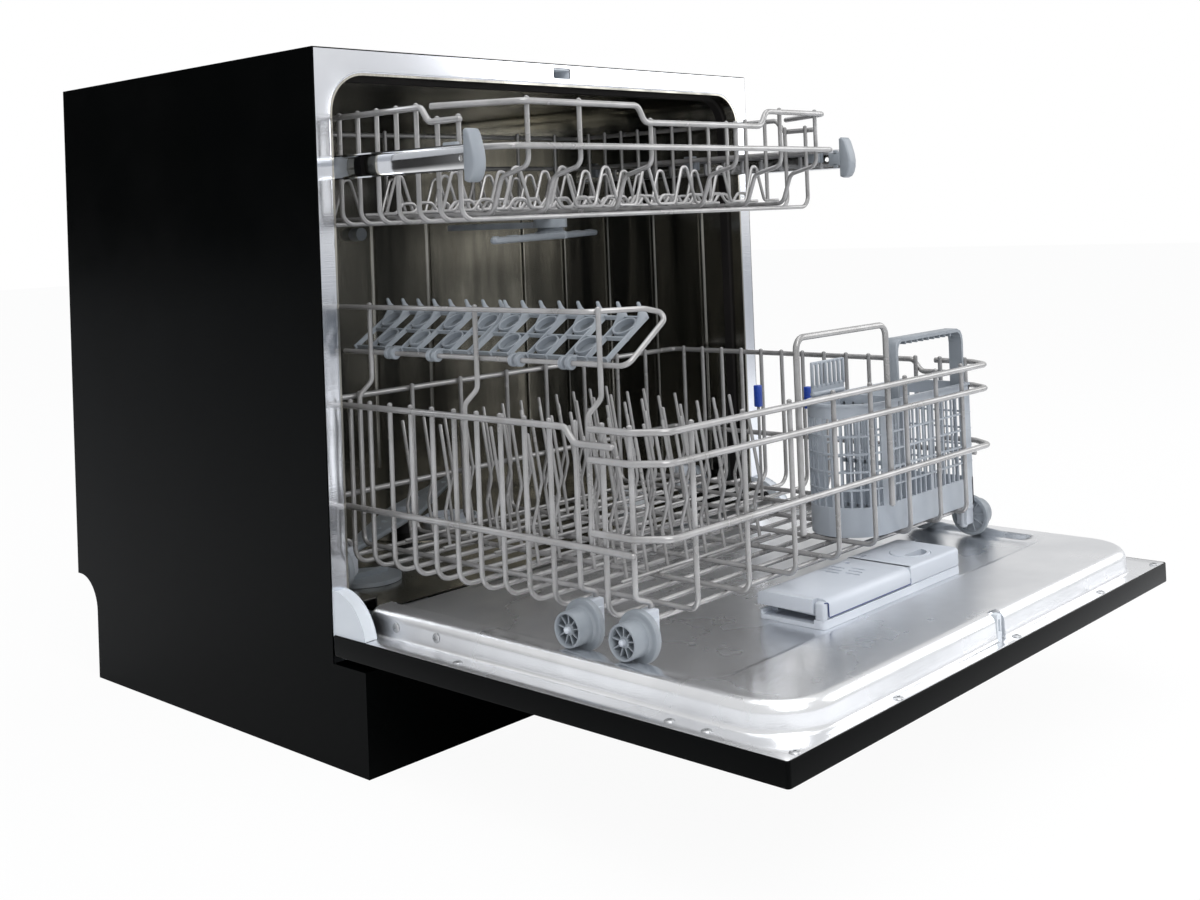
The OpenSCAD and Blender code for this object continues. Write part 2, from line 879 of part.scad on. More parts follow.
module dispenser() {
    low = [disp_x, front_y - disp_s - disp_l, recess_z];
    high = [disp_x + disp_w, front_y - disp_s, disp_top_z];
    color("lightgray")
        difference() {
            round_box(low, high, 5);
            box([low[0] - eps, low[1] - eps, flap_seam_z], [low[0] + flap_w, high[1] + eps, high[2] + eps]);
            box([low[0] + 8, low[1] + 8, low[2] + 2], [low[0] + flap_w - 12, high[1] - 10, high[2]]);
            translate([cap_x, front_y - cap_s, high[2] - 8]) cylinder(d = cap_d + 2 * rest_gap, h = 10);
            for (i = [0 : 2], j = [0, 1])
                translate([low[0] + flap_w + 8 + i * 5 + j * 12, high[1] - 20 - i * 3 - j * 16, high[2] - 1])
                    rotate([0, 0, -8]) cube([1.2, 12, 2]);
        }
}

// Lid of the detergent chamber, turning on the rounded knuckle along its front lower edge
module detergent_flap() {
    low = [disp_x, front_y - disp_s - disp_l, flap_seam_z + rest_gap];
    high = [disp_x + flap_w - rest_gap, front_y - disp_s, disp_top_z];
    wall = 2;
    brow_r = 5;
    color("gainsboro") {
        difference() {
            union() {
                box([low[0], low[1] + brow_r, low[2]], high - [0, 3, 0]);
                box([low[0], low[1], low[2]], high - [0, 3, brow_r]);
                translate([low[0], low[1] + brow_r, high[2] - brow_r])
                    rotate([0, 90, 0]) cylinder(r = brow_r, h = high[0] - low[0]);
            }
            box([low[0] + wall, low[1] + wall, low[2] - eps], [high[0] - wall, high[1] + eps, high[2] - wall]);
            box([low[0] - eps, low[1] - eps, low[2] - eps],
                [high[0] + eps, low[1] + flap_knuckle_r, low[2] + flap_knuckle_r]);
        }
        translate([low[0], low[1] + flap_knuckle_r, low[2] + flap_knuckle_r])
            rotate([0, 90, 0]) cylinder(r = flap_knuckle_r, h = high[0] - low[0]);
    }
}

module rinse_cap() {
    color("gainsboro")
        translate([cap_x, front_y - cap_s, disp_top_z - 8 + rest_gap])
            difference() {
                cylinder(d = cap_d, h = 9);
                difference() {
                    translate([0, 0, 3]) cylinder(d = cap_d - 6, h = 8);
                    translate([-cap_d / 2, -2, 0]) cube([cap_d, cap_d, 12]);
                }
            }
}

// ---- lower rack ----

lr_front_y = front_y + 15 - lr_out;
lr_rear_y = lr_front_y + lr_l;
lr_x = open_w - lr_gap;
rim_r = 8;
// Plane of the upright wires inside the rims
lr_rib_x = lr_x - (rim_wire_d + rib_wire_d) / 2 - wire_gap;
lr_rib_front_y = lr_front_y + (rim_wire_d + rib_wire_d) / 2 + wire_gap;
lr_rib_rear_y = lr_rear_y - (rim_wire_d + rib_wire_d) / 2 - wire_gap;
corner_in = 16;

// Half of a front rim at height z, from its side end to the middle
function front_rim(z, back, w, corner, inset, y) = [
    [-w, y + corner + back, z], [-w, y + corner, z], [-w + inset, y, z],
    [w - inset, y, z], [w, y + corner, z], [w, y + corner + back, z]];

module lower_rack_rims() {
    dip = 12;
    turn_y = lr_front_y + 92;
    color(wire_grey) {
        wire(front_rim(lr_top_z, 42, lr_x, lr_corner, corner_in, lr_front_y), rim_wire_d, rim_r);
        wire(front_rim(lr_mid_z, 42, lr_x, lr_corner, corner_in, lr_front_y), rim_wire_d, rim_r);
        wire(front_rim(lr_low_z, 42, lr_x, lr_corner, corner_in, lr_front_y), rim_wire_d, rim_r);
        wire([[-lr_x, turn_y - 50, lr_top_z - dip], [-lr_x, turn_y - 10, lr_top_z - dip],
            [-lr_x, turn_y, lr_top_z], [-lr_x, lr_rear_y, lr_top_z], [lr_x, lr_rear_y, lr_top_z],
            [lr_x, turn_y, lr_top_z], [lr_x, turn_y - 10, lr_top_z - dip],
            [lr_x, turn_y - 50, lr_top_z - dip]], rim_wire_d, rim_r);
        wire([[-lr_x, lr_front_y + lr_corner, lr_side_z], [-lr_x, lr_rear_y, lr_side_z],
            [lr_x, lr_rear_y, lr_side_z], [lr_x, lr_front_y + lr_corner, lr_side_z]], rim_wire_d, rim_r);
    }
}

wheel_z = ledge_z + rest_gap + hub_d / 2;
rib_y0 = lr_front_y + 29 + rib_pitch;
// Numbers of the wires that stop short of a wheel, counted along the rack
wheel_ribs = [-1, 1, 12];
plain_ribs = [0, 2, 3, 4, 5, 6, 7, 8, 9, 10, 11];
jog_x = lr_rib_x - 16;
jog_z = wheel_z + flange_d / 2 + 2;

function rib_y(i) = rib_y0 + i * rib_pitch;

// Wire across the rack that steps inwards to pass the wheels
module wheel_rib(y, d) {
    top = lr_top_z + 4;
    wire([[-lr_rib_x, y, top], [-lr_rib_x, y, jog_z + 6], [-jog_x, y, jog_z], [-jog_x, y, lr_floor_z],
        [jog_x, y, lr_floor_z], [jog_x, y, jog_z], [lr_rib_x, y, jog_z + 6], [lr_rib_x, y, top]], d, 5);
}

module lower_rack_ribs() {
    bend = 14;
    top = lr_top_z + 4;
    color(wire_grey) {
        for (i = plain_ribs)
            wire([[-lr_rib_x, rib_y(i), top], [-lr_rib_x, rib_y(i), lr_floor_z],
                [lr_rib_x, rib_y(i), lr_floor_z], [lr_rib_x, rib_y(i), top]], rib_wire_d, bend);
        for (i = wheel_ribs)
            wheel_rib(rib_y(i), rib_wire_d);
    }
}

runner_z = lr_floor_z + rib_wire_d + wire_gap;
runner_x = [-203, -141, -80, -18, 38, 95, 148, 195];

module lower_rack_runners() {
    bend = 9;
    color(wire_grey)
        for (x = runner_x)
            wire([[x, lr_rib_front_y, lr_top_z + 4], [x, lr_rib_front_y, runner_z], [x, lr_rib_rear_y, runner_z],
                [x, lr_rib_rear_y, lr_top_z + 4]], rib_wire_d, bend);
}

module lower_rack_handle() {
    x = 67;
    y = lr_front_y + rim_wire_d + wire_gap;
    top = lr_top_z + 53;
    color(wire_grey)
        wire([[-x, y, runner_z + 30], [-x, y, top], [x, y, top], [x, y, runner_z + 30]], rim_wire_d, 10);
}

tine_base_z = runner_z + (rib_wire_d + tine_wire_d) / 2 + wire_gap;

// Distance of a tine's foot from its row's base wire
function tine_foot(side) = side > 0 ? tine_wire_d + wire_gap : -tine_wire_d - wire_gap - rest_gap;

// One kinked tine, welded to the rear (side 1) or the front (side -1) of its row's base wire
module tine(x, y, lean, side) {
    z = tine_base_z - tine_wire_d / 2 + rest_gap;
    foot_y = y + tine_foot(side);
    wire([[x, foot_y, z], [x, foot_y + lean, z + 32], [x, foot_y - lean / 2, z + 54],
        [x, foot_y + lean * 1.6, tine_top_z]], tine_wire_d, 6);
}

// A row of tines across the rack, on a base wire that runs on past the last tine
module tine_row(y, x0, count, past = 10, side = 1) {
    x1 = x0 + (count - 1) * tine_pitch;
    lean = 5;
    color(wire_grey) {
        along([x0 - 10, y, tine_base_z], [x1 + past, y, tine_base_z])
            cylinder(d = tine_wire_d, h = x1 + past - x0 + 10);
        for (i = [0 : count - 1])
            tine(x0 + i * tine_pitch, y, lean, side);
    }
}

tine_x0 = -176;
row_pitch = 55;

function row_y(i) = lr_front_y + 100 + i * row_pitch;

// Fixed rows; the third one's tines stand half a step aside, between those of the row that folds back over it
module lower_rack_tines() {
    for (i = [0, 4, 5])
        tine_row(row_y(i), tine_x0, i < 1 ? 8 : 12);
    tine_row(row_y(3), tine_x0 + tine_pitch / 2, 11);
}

grip_w = 7;
grip_h = 22;

// Row of tines that folds to the rear about its base wire, with a grip on a post at its right end.
// Its tines stand before the base wire, so that their feet rise as it folds
module folding_row(y, x0, count, grip_x) {
    foot_y = y + tine_foot(-1);
    grip_z = tine_top_z + 6;
    tine_row(y, x0, count, grip_x + grip_w / 2 - x0 - (count - 1) * tine_pitch, -1);
    color(wire_grey)
        translate([grip_x, foot_y, tine_base_z - tine_wire_d / 2 + rest_gap])
            cylinder(d = tine_wire_d, h = grip_z - 2 - tine_base_z);
    color("royalblue")
        box([grip_x - grip_w / 2, foot_y - grip_w / 2, grip_z - grip_h],
            [grip_x + grip_w / 2, foot_y + grip_w / 2, grip_z]);
}

module tine_row_front() {
    folding_row(row_y(1), tine_x0 + tine_pitch / 2, 8, runner_x[6] - 1);
}

module tine_row_rear() {
    folding_row(row_y(2), tine_x0, 12, runner_x[6] - 12);
}

hub_x = lr_rib_x - 5;
clip_x = hub_x - 1;
clip_w = 13;

// Wheel on the right side with its axis at height wheel_z
module wheel(y) {
    rim_t = 2;
    spokes = 8;
    translate([hub_x, y, wheel_z])
        rotate([0, 90, 0])
            difference() {
                union() {
                    difference() {
                        union() {
                            cylinder(d = flange_d, h = flange_w);
                            cylinder(d = hub_d, h = flange_w + hub_w);
                        }
                        translate([0, 0, flange_w]) cylinder(d = hub_d - 2 * rim_t, h = hub_w + eps);
                    }
                    translate([0, 0, 1]) cylinder(d = axle_d + 4, h = flange_w + hub_w - 3);
                    for (a = [0 : 360 / spokes : 359])
                        rotate([0, 0, a])
                            translate([axle_d / 2 + 1, -0.6, 1])
                                cube([hub_d / 2 - axle_d / 2 - 2, 1.2, flange_w + hub_w - 4]);
                }
                translate([0, 0, -eps]) cylinder(d = axle_d + 2 * fit, h = flange_w + hub_w + 2 * eps);
            }
}

// Two wheels on one line across the rack
module wheel_pair(y) {
    color(plastic_grey) both_sides() wheel(y);
}

module wheels_1() {
    wheel_pair(rib_y(wheel_ribs[0]));
}

module wheels_2() {
    wheel_pair(rib_y(wheel_ribs[1]));
}

module wheels_3() {
    wheel_pair(rib_y(wheel_ribs[2]));
}

// Blocks clipped on the stepped wires, each with a wheel's axle
module wheel_clips() {
    l = 12;
    color("lightgray")
        for (i = wheel_ribs)
            both_sides() {
                difference() {
                    box([clip_x - clip_w, rib_y(i) - l / 2, wheel_z - 7],
                        [clip_x, rib_y(i) + l / 2, jog_z - 4]);
                    wheel_rib(rib_y(i), rib_wire_d + 2 * fit);
                }
                translate([clip_x - 1, rib_y(i), wheel_z])
                    rotate([0, 90, 0]) cylinder(d = axle_d, h = flange_w + hub_w + 3);
            }
}

// ---- cup shelf ----

guard_x = -lr_x + 10;
post_x = guard_x + rib_wire_d + wire_gap;
shelf_x = post_x + rib_wire_d + wire_gap;
shelf_front_y = lr_front_y + 48;
shelf_rear_y = shelf_front_y + 2 * shelf_l + 31;

module cup_shelf_frame() {
    in_x = shelf_x + shelf_deep * cos(shelf_tilt) - 4;
    in_z = shelf_z + shelf_deep * sin(shelf_tilt) + 2;
    kink_z = lr_top_z + 15;
    color(wire_grey) {
        wire([[shelf_x, shelf_rear_y, shelf_z], [shelf_x, shelf_front_y - 6, shelf_z],
            [in_x, shelf_front_y - 8, in_z], [in_x - 18, shelf_front_y + 2, guard_z],
            [guard_x, shelf_front_y + 26, guard_z], [guard_x, shelf_rear_y, guard_z]], rib_wire_d, 5);
        for (i = [0, 5, 10])
            let (y = rib_y(i) + rib_pitch / 2)
                wire([[post_x, y - 6, guard_z + 3], [post_x, y - 6, kink_z + 6], [-lr_rib_x, y, kink_z - 6],
                    [-lr_rib_x, y, lr_side_z - 6]], rib_wire_d, 6);
    }
}

// Slotted grid with rings and teeth, level, with its hinge along Y at the origin
module shelf_grid() {
    t = 3;
    bar = 2.4;
    cells = 7;
    pitch = shelf_l / cells;
    difference() {
        union() {
            for (x = [9, shelf_deep / 2, shelf_deep - 4])
                box([x, 0, -t / 2], [x + 3, shelf_l, t / 2]);
            for (i = [0 : cells])
                box([6, i * (shelf_l - bar) / cells, -t / 2], [shelf_deep, i * (shelf_l - bar) / cells + bar, t / 2]);
            for (i = [0 : 2 : cells - 1], x = [shelf_deep * 0.36, shelf_deep * 0.74])
                translate([x, (i + 0.5) * pitch, -t / 2]) cylinder(d = pitch * 0.86, h = t);
            for (i = [0 : cells])
                translate([shelf_deep, i * (shelf_l - bar) / cells + bar, 0])
                    rotate([90, 0, 0])
                        linear_extrude(bar) polygon([[-16, 0], [0, 0], [0, 15], [-3, 15], [-9, 7]]);
            for (y = [34, shelf_l - 66])
                translate([0, y, 0]) {
                    rotate([-90, 0, 0]) cylinder(d = rib_wire_d + 6, h = 12);
                    box([2, 0, -t / 2], [10, 12, t / 2]);
                }
        }
        for (i = [0 : 2 : cells - 1], x = [shelf_deep * 0.36, shelf_deep * 0.74])
            translate([x, (i + 0.5) * pitch, -t]) cylinder(d = pitch * 0.86 - 4, h = 2 * t);
        translate([0, -eps, 0]) rotate([-90, 0, 0]) cylinder(d = rib_wire_d + 2 * fit, h = shelf_l + 2 * eps);
    }
}

module cup_shelf_front() {
    color(plastic_grey)
        translate([shelf_x, shelf_front_y + 18, shelf_z]) rotate([0, -shelf_tilt, 0]) shelf_grid();
}

module cup_shelf_rear() {
    color(plastic_grey)
        translate([shelf_x, shelf_front_y + 22 + shelf_l, shelf_z]) rotate([0, -shelf_tilt, 0]) shelf_grid();
}

// ---- cutlery basket ----

basket_x = clip_x - clip_w - rest_gap - basket_w;
basket_y = lr_rib_front_y + 9.5;
basket_z = runner_z + rib_wire_d / 2 + rest_gap;

// Outline of the basket, with one round end, shrunk by g
module basket_outline(g) {
    r = basket_l / 2 - g;
    translate([basket_x + basket_l / 2, basket_y + basket_l / 2]) circle(r = r);
    translate([basket_x + basket_l / 2, basket_y + g])
        square([basket_w - basket_l / 2 - g, basket_l - 2 * g]);
}

module cutlery_basket() {
    low_band = 24;
    bars = 5;
    pitch = 9.6;
    row_h = (basket_h - low_band - 12) / bars;
    wall = basket_t;
    split_x = basket_x + basket_w * 0.4;
    color(plastic_grey)
        difference() {
            union() {
                translate([0, 0, basket_z])
                    linear_extrude(basket_h) difference() { basket_outline(0); basket_outline(wall); }
                translate([0, 0, basket_z]) linear_extrude(wall) basket_outline(0);
                box([split_x, basket_y + wall / 2, basket_z], [split_x + wall, basket_y + basket_l - wall / 2, basket_z + basket_h]);
            }
            for (k = [0 : bars - 1], i = [0 : 13])
                let (x = basket_x + basket_l / 2 + 6 + i * pitch)
                    if (x + pitch < basket_x + basket_w - 6 && (x > split_x + 4 || x + pitch < split_x - 2))
                        box([x, basket_y - eps, basket_z + low_band + k * row_h],
                            [x + pitch - 2, basket_y + basket_l + eps, basket_z + low_band + (k + 1) * row_h - 2]);
            for (k = [0 : bars - 1], i = [0 : 4])
                box([basket_x + basket_w - 2 * wall, basket_y + 10 + i * 12, basket_z + low_band + k * row_h],
                    [basket_x + basket_w + eps, basket_y + 19 + i * 12, basket_z + low_band + (k + 1) * row_h - 2]);
        }
    basket_handle(split_x);
}

// Arched handle on the front wall of the basket
module basket_handle(split_x) {
    t = 3;
    deep = 14;
    x0 = split_x - 14;
    x1 = x0 + 118;
    z0 = basket_z + basket_h - 10;
    z1 = basket_z + basket_h + handle_h;
    color(plastic_grey)
        extrude_y(basket_y, deep)
            difference() {
                polygon([[x0, z0], [x1, z0], [x1 + 2, z1 - 5], [x1 - 3, z1], [x0 + 3, z1], [x0 - 2, z1 - 5]]);
                polygon([[x0 + t, z0 - eps], [x1 - t, z0 - eps], [x1 - t + 1, z1 - t - 4],
                    [x1 - 2 * t, z1 - t], [x0 + 2 * t, z1 - t], [x0 + t - 1, z1 - t - 4]]);
            }
}

lid_hinge_z = basket_z + basket_h + 3;
lid_hinge_y = basket_y + basket_l - 2.5;

// Slotted lid of the narrow compartment, standing open
module cutlery_lid() {
    x0 = basket_x + 30;
    x1 = basket_x + basket_w * 0.4 + 6;
    h = 30;
    slots = 6;
    color(plastic_grey)
        translate([0, lid_hinge_y, lid_hinge_z])
            difference() {
                union() {
                    rotate([0, 90, 0]) translate([0, 0, x0]) cylinder(d = 5, h = x1 - x0);
                    box([x0, -1, 0], [x1, 1, h]);
                }
                for (i = [0 : slots - 1])
                    box([x0 + 5 + i * 8, -2, 8], [x0 + 9 + i * 8, 2, h - 3]);
            }
}

// ---- upper rack ----

ur_front_y = front_y + 15 - ur_out;
ur_rear_y = ur_front_y + ur_l;
ur_x = open_w - ur_gap;
ur_corner = 75;
ur_inset = 36;
ur_rib_x = ur_x - (rim_wire_d + rib_wire_d) / 2 - wire_gap;
ur_rib_front_y = ur_front_y + (rim_wire_d + rib_wire_d) / 2 + wire_gap;
ur_rib_rear_y = ur_rear_y - (rim_wire_d + rib_wire_d) / 2 - wire_gap;
dip_x = 74;

turn_y = ur_front_y + 88;
side_dip = 13;

module upper_rack_rims() {
    low_z = ur_top_z - side_dip;
    mid_corner = 34;
    mid_inset = 24;
    color(wire_grey) {
        wire([[-ur_x, ur_front_y + ur_corner, ur_top_z], [-ur_x + ur_inset, ur_front_y, ur_top_z],
            [-dip_x, ur_front_y, ur_top_z], [-dip_x + 9, ur_front_y, ur_dip_z],
            [dip_x + 31, ur_front_y, ur_dip_z], [dip_x + 40, ur_front_y, ur_top_z],
            [ur_x - ur_inset, ur_front_y, ur_top_z], [ur_x, ur_front_y + ur_corner, ur_top_z]], rim_wire_d, 5);
        wire([[-ur_x + 60, ur_rear_y, ur_mid_z], [-ur_x, ur_rear_y, ur_mid_z],
            [-ur_x, ur_front_y + mid_corner, ur_mid_z], [-ur_x + mid_inset, ur_front_y, ur_mid_z],
            [ur_x - mid_inset, ur_front_y, ur_mid_z], [ur_x, ur_front_y + mid_corner, ur_mid_z],
            [ur_x, ur_rear_y, ur_mid_z], [-ur_x + 61, ur_rear_y, ur_mid_z]], rim_wire_d, rim_r);
        wire([[-ur_x, turn_y - 50, low_z], [-ur_x, turn_y - 10, low_z], [-ur_x, turn_y, ur_top_z],
            [-ur_x, ur_rear_y, ur_top_z], [ur_x, ur_rear_y, ur_top_z], [ur_x, turn_y, ur_top_z],
            [ur_x, turn_y - 10, low_z], [ur_x, turn_y - 50, low_z]], rim_wire_d, 6);
    }
}

ur_rib_pitch = 27.4;
ur_long_x = [-204, -143, -52, 71, 143, 204];

module upper_rack_ribs() {
    bend = 12;
    sweep_y = ur_rib_front_y + 46;
    low_z = ur_floor_z + rib_wire_d + wire_gap;
    color(wire_grey) {
        for (i = [0 : 12])
            let (y = ur_front_y + 46 + i * ur_rib_pitch, top = (y > turn_y ? ur_top_z : ur_top_z - side_dip) + 4)
                wire([[-ur_rib_x, y, top], [-ur_rib_x, y, ur_floor_z], [ur_rib_x, y, ur_floor_z],
                    [ur_rib_x, y, top]], rib_wire_d, bend);
        for (x = ur_long_x)
            let (top = (x > -dip_x && x < dip_x + 31 ? ur_dip_z : ur_top_z) + 4)
                wire([[x, ur_rib_front_y, top], [x, ur_rib_front_y, ur_mid_z - 16],
                    [x, ur_rib_front_y + 34, ur_mid_z - 24], [x, sweep_y, low_z],
                    [x, ur_rib_rear_y, low_z], [x, ur_rib_rear_y, ur_top_z + 4]], rib_wire_d, 10);
    }
}

// Height of what is welded on top of the long floor wires
ur_deck_z = ur_floor_z + 1.5 * rib_wire_d + tine_wire_d / 2 + 2 * wire_gap;

ur_row_x = ur_long_x[5] + 4;

// Wire across the floor with inverted-V tines, its ends on the outer long wires
module vee_row(y, count) {
    pitch = 56;
    foot = 16;
    rise = 46;
    pts = [for (i = [0 : count - 1], k = [-1 : 1])
        [(i - (count - 1) / 2) * pitch + k * foot, y, ur_deck_z + (k == 0 ? rise : 0)]];
    wire(concat([[-ur_row_x, y, ur_deck_z]], pts, [[ur_row_x, y, ur_deck_z]]), tine_wire_d, 5);
}

module upper_rack_tines() {
    color(wire_grey)
        for (row = [60, 142, 224, 306])
            vee_row(ur_front_y + row, 7);
}

// Wire across the floor that rises and falls in even waves, its ends on the outer long wires
module wave_row(y, count) {
    pitch = 40;
    rise = 9;
    bends = [-0.35, -0.15, 0.15, 0.35];
    pts = [for (i = [0 : count - 1], k = [0 : 3])
        [(i - (count - 1) / 2 + bends[k]) * pitch, y, ur_deck_z + (k == 1 || k == 2 ? rise : 0)]];
    wire(concat([[-ur_row_x, y, ur_deck_z]], pts, [[ur_row_x, y, ur_deck_z]]), tine_wire_d, 3);
}

module upper_rack_waves() {
    color(wire_grey)
        for (row = [88, 114, 170, 196])
            wave_row(ur_front_y + row, 10);
}

// C-shaped slide rails, open towards the tub's walls
module upper_rails() {
    y0 = ur_front_y + 12;
    color(steel)
        both_sides()
            difference() {
                box([rail_web_x, y0, rail_z - rail_h / 2], [rail_web_x + rail_w, y0 + rail_l, rail_z + rail_h / 2]);
                box([rail_web_x + rail_t, y0 - eps, rail_z - rail_h / 2 + rail_t],
                    [rail_web_x + rail_w + eps, y0 + rail_l + eps, rail_z + rail_h / 2 - rail_t]);
                translate([rail_web_x - eps, y0 + 10, rail_z])
                    rotate([0, 90, 0]) cylinder(d = 6, h = rail_t + 2 * eps);
            }
}

// End caps of the rails, and the clips that hold the rack's rim against them
module rail_fittings() {
    y1 = ur_front_y + 12;
    hook_x = ur_x + rim_wire_d / 2 + 0.1;
    color(plastic_grey)
        both_sides() {
            extrude_x(rail_web_x - 1, rail_w + 2)
                polygon([[y1, rail_z - 19], [y1, rail_z + 23], [y1 - 6, rail_z + 23], [y1 - 12, rail_z + 4],
                    [y1 - 13, rail_z - 12], [y1 - 8, rail_z - 19]]);
            for (y = [y1 + 24, y1 + rail_l / 2, y1 + rail_l - 40])
                box([hook_x, y, ur_mid_z - 12], [rail_web_x, y + 16, ur_mid_z + 5]);
        }
}

arm_y = front_y + 25;

module upper_feed() {
    low = upper_arm_z + 12;
    duct_w = 20;
    duct_h = 6;
    turn_y = arm_y + 130;
    color(plastic_grey) {
        translate([0, arm_y, low]) cylinder(d = 34, h = ur_floor_z - rib_wire_d / 2 - wire_gap - low);
        box([-duct_w / 2, arm_y, low], [duct_w / 2, turn_y + duct_w, low + duct_h]);
        box([-duct_w / 2, turn_y, low], [feed_x + duct_w / 2, turn_y + duct_w, low + duct_h]);
        box([feed_x - duct_w / 2, turn_y, low], [feed_x + duct_w / 2, ur_rear_y, low + duct_h]);
    }
}

module upper_spray_arm() {
    color("lightslategray")
        translate([0, arm_y, upper_arm_z]) {
            rotate([0, 0, 31]) arm_blade(upper_arm_l, 34, 5, 5);
            cylinder(d = 26, h = 12 - rest_gap);
        }
}

base_tray();
plinth_panel();
side_panel_left();
side_panel_right();
top_panel();
back_panel();
feet();
tub();
tub_ledges();
door_seal();
latch_catch();
hinge_brackets();
hinge_covers();
corner_seals();
sump();
filter_plate();
filter_cup();
float_dome();
lower_spray_arm();
circulation_pump();
drain_pump();
inlet_valve();
water_softener();
salt_cap();
feed_tube();
rollers_front();
rollers_rear();
door_outer();
door_liner();
liner_panel();
door_screws();
hinge_arms();
latch_strike();
dispenser();
detergent_flap();
rinse_cap();
lower_rack_rims();
lower_rack_ribs();
lower_rack_runners();
lower_rack_handle();
lower_rack_tines();
tine_row_front();
tine_row_rear();
wheel_clips();
wheels_1();
wheels_2();
wheels_3();
cup_shelf_frame();
cup_shelf_front();
cup_shelf_rear();
cutlery_basket();
cutlery_lid();
upper_rack_rims();
upper_rack_ribs();
upper_rack_tines();
upper_rack_waves();
upper_rails();
rail_fittings();
upper_feed();
upper_spray_arm();
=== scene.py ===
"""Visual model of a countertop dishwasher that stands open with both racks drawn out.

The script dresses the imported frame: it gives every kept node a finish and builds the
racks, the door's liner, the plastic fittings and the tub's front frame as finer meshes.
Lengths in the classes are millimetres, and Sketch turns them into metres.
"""

from __future__ import annotations

import json
import logging
import math
from dataclasses import dataclass, field
from enum import Enum
from typing import Iterable, Sequence

import bmesh
import bpy
from mathutils import Matrix, Vector

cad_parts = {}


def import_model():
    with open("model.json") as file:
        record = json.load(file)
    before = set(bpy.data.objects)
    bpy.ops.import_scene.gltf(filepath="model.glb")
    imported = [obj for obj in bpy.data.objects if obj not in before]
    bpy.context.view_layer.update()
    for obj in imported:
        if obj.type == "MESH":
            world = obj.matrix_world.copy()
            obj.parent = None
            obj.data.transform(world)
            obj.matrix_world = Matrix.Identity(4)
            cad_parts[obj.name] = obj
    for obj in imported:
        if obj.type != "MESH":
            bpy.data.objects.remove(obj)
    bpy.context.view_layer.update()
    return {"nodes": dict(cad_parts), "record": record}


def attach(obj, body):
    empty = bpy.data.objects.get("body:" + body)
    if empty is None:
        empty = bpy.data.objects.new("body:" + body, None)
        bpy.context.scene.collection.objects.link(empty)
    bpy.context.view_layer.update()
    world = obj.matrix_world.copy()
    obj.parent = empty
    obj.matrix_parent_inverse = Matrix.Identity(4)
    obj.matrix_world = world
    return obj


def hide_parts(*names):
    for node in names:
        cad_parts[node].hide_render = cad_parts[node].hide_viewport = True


LOG = logging.getLogger("dishwasher")
MM = 0.001
Point = Sequence[float]
Color = tuple[float, float, float]

# Places that several sub-assemblies share, as the frame has them
FRONT_Y = -205.0
CABINET_W = 595.0
HINGE_Z = 120.4
LINER_Z = 112.4
TRAY_Z = 133.9
RECESS_Z = 126.9
RIM_WIRE = 5.5
RIB_WIRE = 4.4
TINE_WIRE = 3.2
WIRE_GAP = 0.06
# How much thicker a wire's coating is at its end
SWELL = 0.12


# ---- finishes ----


class Grain(Enum):
    """Direction in which a sheet was rolled or brushed, as the stretch of its noise."""

    NONE = (1.0, 1.0, 1.0)
    ALONG_X = (0.02, 1.0, 1.0)
    ALONG_Y = (1.0, 0.02, 1.0)
    ALONG_Z = (1.0, 1.0, 0.02)


def new_group(name: str, inputs: Iterable[tuple[str, str]], outputs: Iterable[tuple[str, str]]
              ) -> tuple[bpy.types.NodeTree, bpy.types.Node, bpy.types.Node]:
    """Makes an empty shader node group with named sockets.

    Args:
        name: Name of the group.
        inputs: Socket name and socket type of each input.
        outputs: Socket name and socket type of each output.

    Returns:
        The group, its input node and its output node.
    """
    group = bpy.data.node_groups.new(name, "ShaderNodeTree")
    for label, kind in inputs:
        group.interface.new_socket(name=label, in_out="INPUT", socket_type=kind)
    for label, kind in outputs:
        group.interface.new_socket(name=label, in_out="OUTPUT", socket_type=kind)
    return group, group.nodes.new("NodeGroupInput"), group.nodes.new("NodeGroupOutput")


def join(source: bpy.types.Node, output: str, target: bpy.types.Node, into: str | int) -> None:
    """Links a node's output to another node's input in the same tree."""
    source.id_data.links.new(source.outputs[output], target.inputs[into])


def mottle_group() -> bpy.types.NodeTree:
    """Slow change of colour and roughness over a surface: random tone, as wear and handling leave it, and on
    the tub's steel painted reflections and shade in vertical streaks.

    Returns:
        The node group, built once and then shared.
    """
    name = "surface_mottle"
    if name in bpy.data.node_groups:
        return bpy.data.node_groups[name]
    group, start, end = new_group(
        name,
        [("Vector", "NodeSocketVector"), ("Stretch", "NodeSocketVector"), ("Scale", "NodeSocketFloat"),
         ("Color A", "NodeSocketColor"), ("Color B", "NodeSocketColor"),
         ("Roughness A", "NodeSocketFloat"), ("Roughness B", "NodeSocketFloat")],
        [("Color", "NodeSocketColor"), ("Roughness", "NodeSocketFloat")],
    )
    noise = group.nodes.new("ShaderNodeTexNoise")
    noise.inputs["Detail"].default_value = 4.0
    noise.inputs["Roughness"].default_value = 0.6
    spread = group.nodes.new("ShaderNodeMapRange")
    spread.inputs["From Min"].default_value = 0.35
    spread.inputs["From Max"].default_value = 0.65
    color = group.nodes.new("ShaderNodeMix")
    color.data_type = "RGBA"
    rough = group.nodes.new("ShaderNodeMix")
    stretch = group.nodes.new("ShaderNodeVectorMath")
    stretch.operation = "MULTIPLY"
    join(start, "Vector", stretch, 0)
    join(start, "Stretch", stretch, 1)
    join(stretch, "Vector", noise, "Vector")
    join(start, "Scale", noise, "Scale")
    join(noise, "Fac", spread, "Value")
    join(spread, "Result", color, "Factor")
    join(start, "Color A", color, "A")
    join(start, "Color B", color, "B")
    join(spread, "Result", rough, "Factor")
    join(start, "Roughness A", rough, "A")
    join(start, "Roughness B", rough, "B")
    join(color, "Result", end, "Color")
    join(rough, "Result", end, "Roughness")
    return group


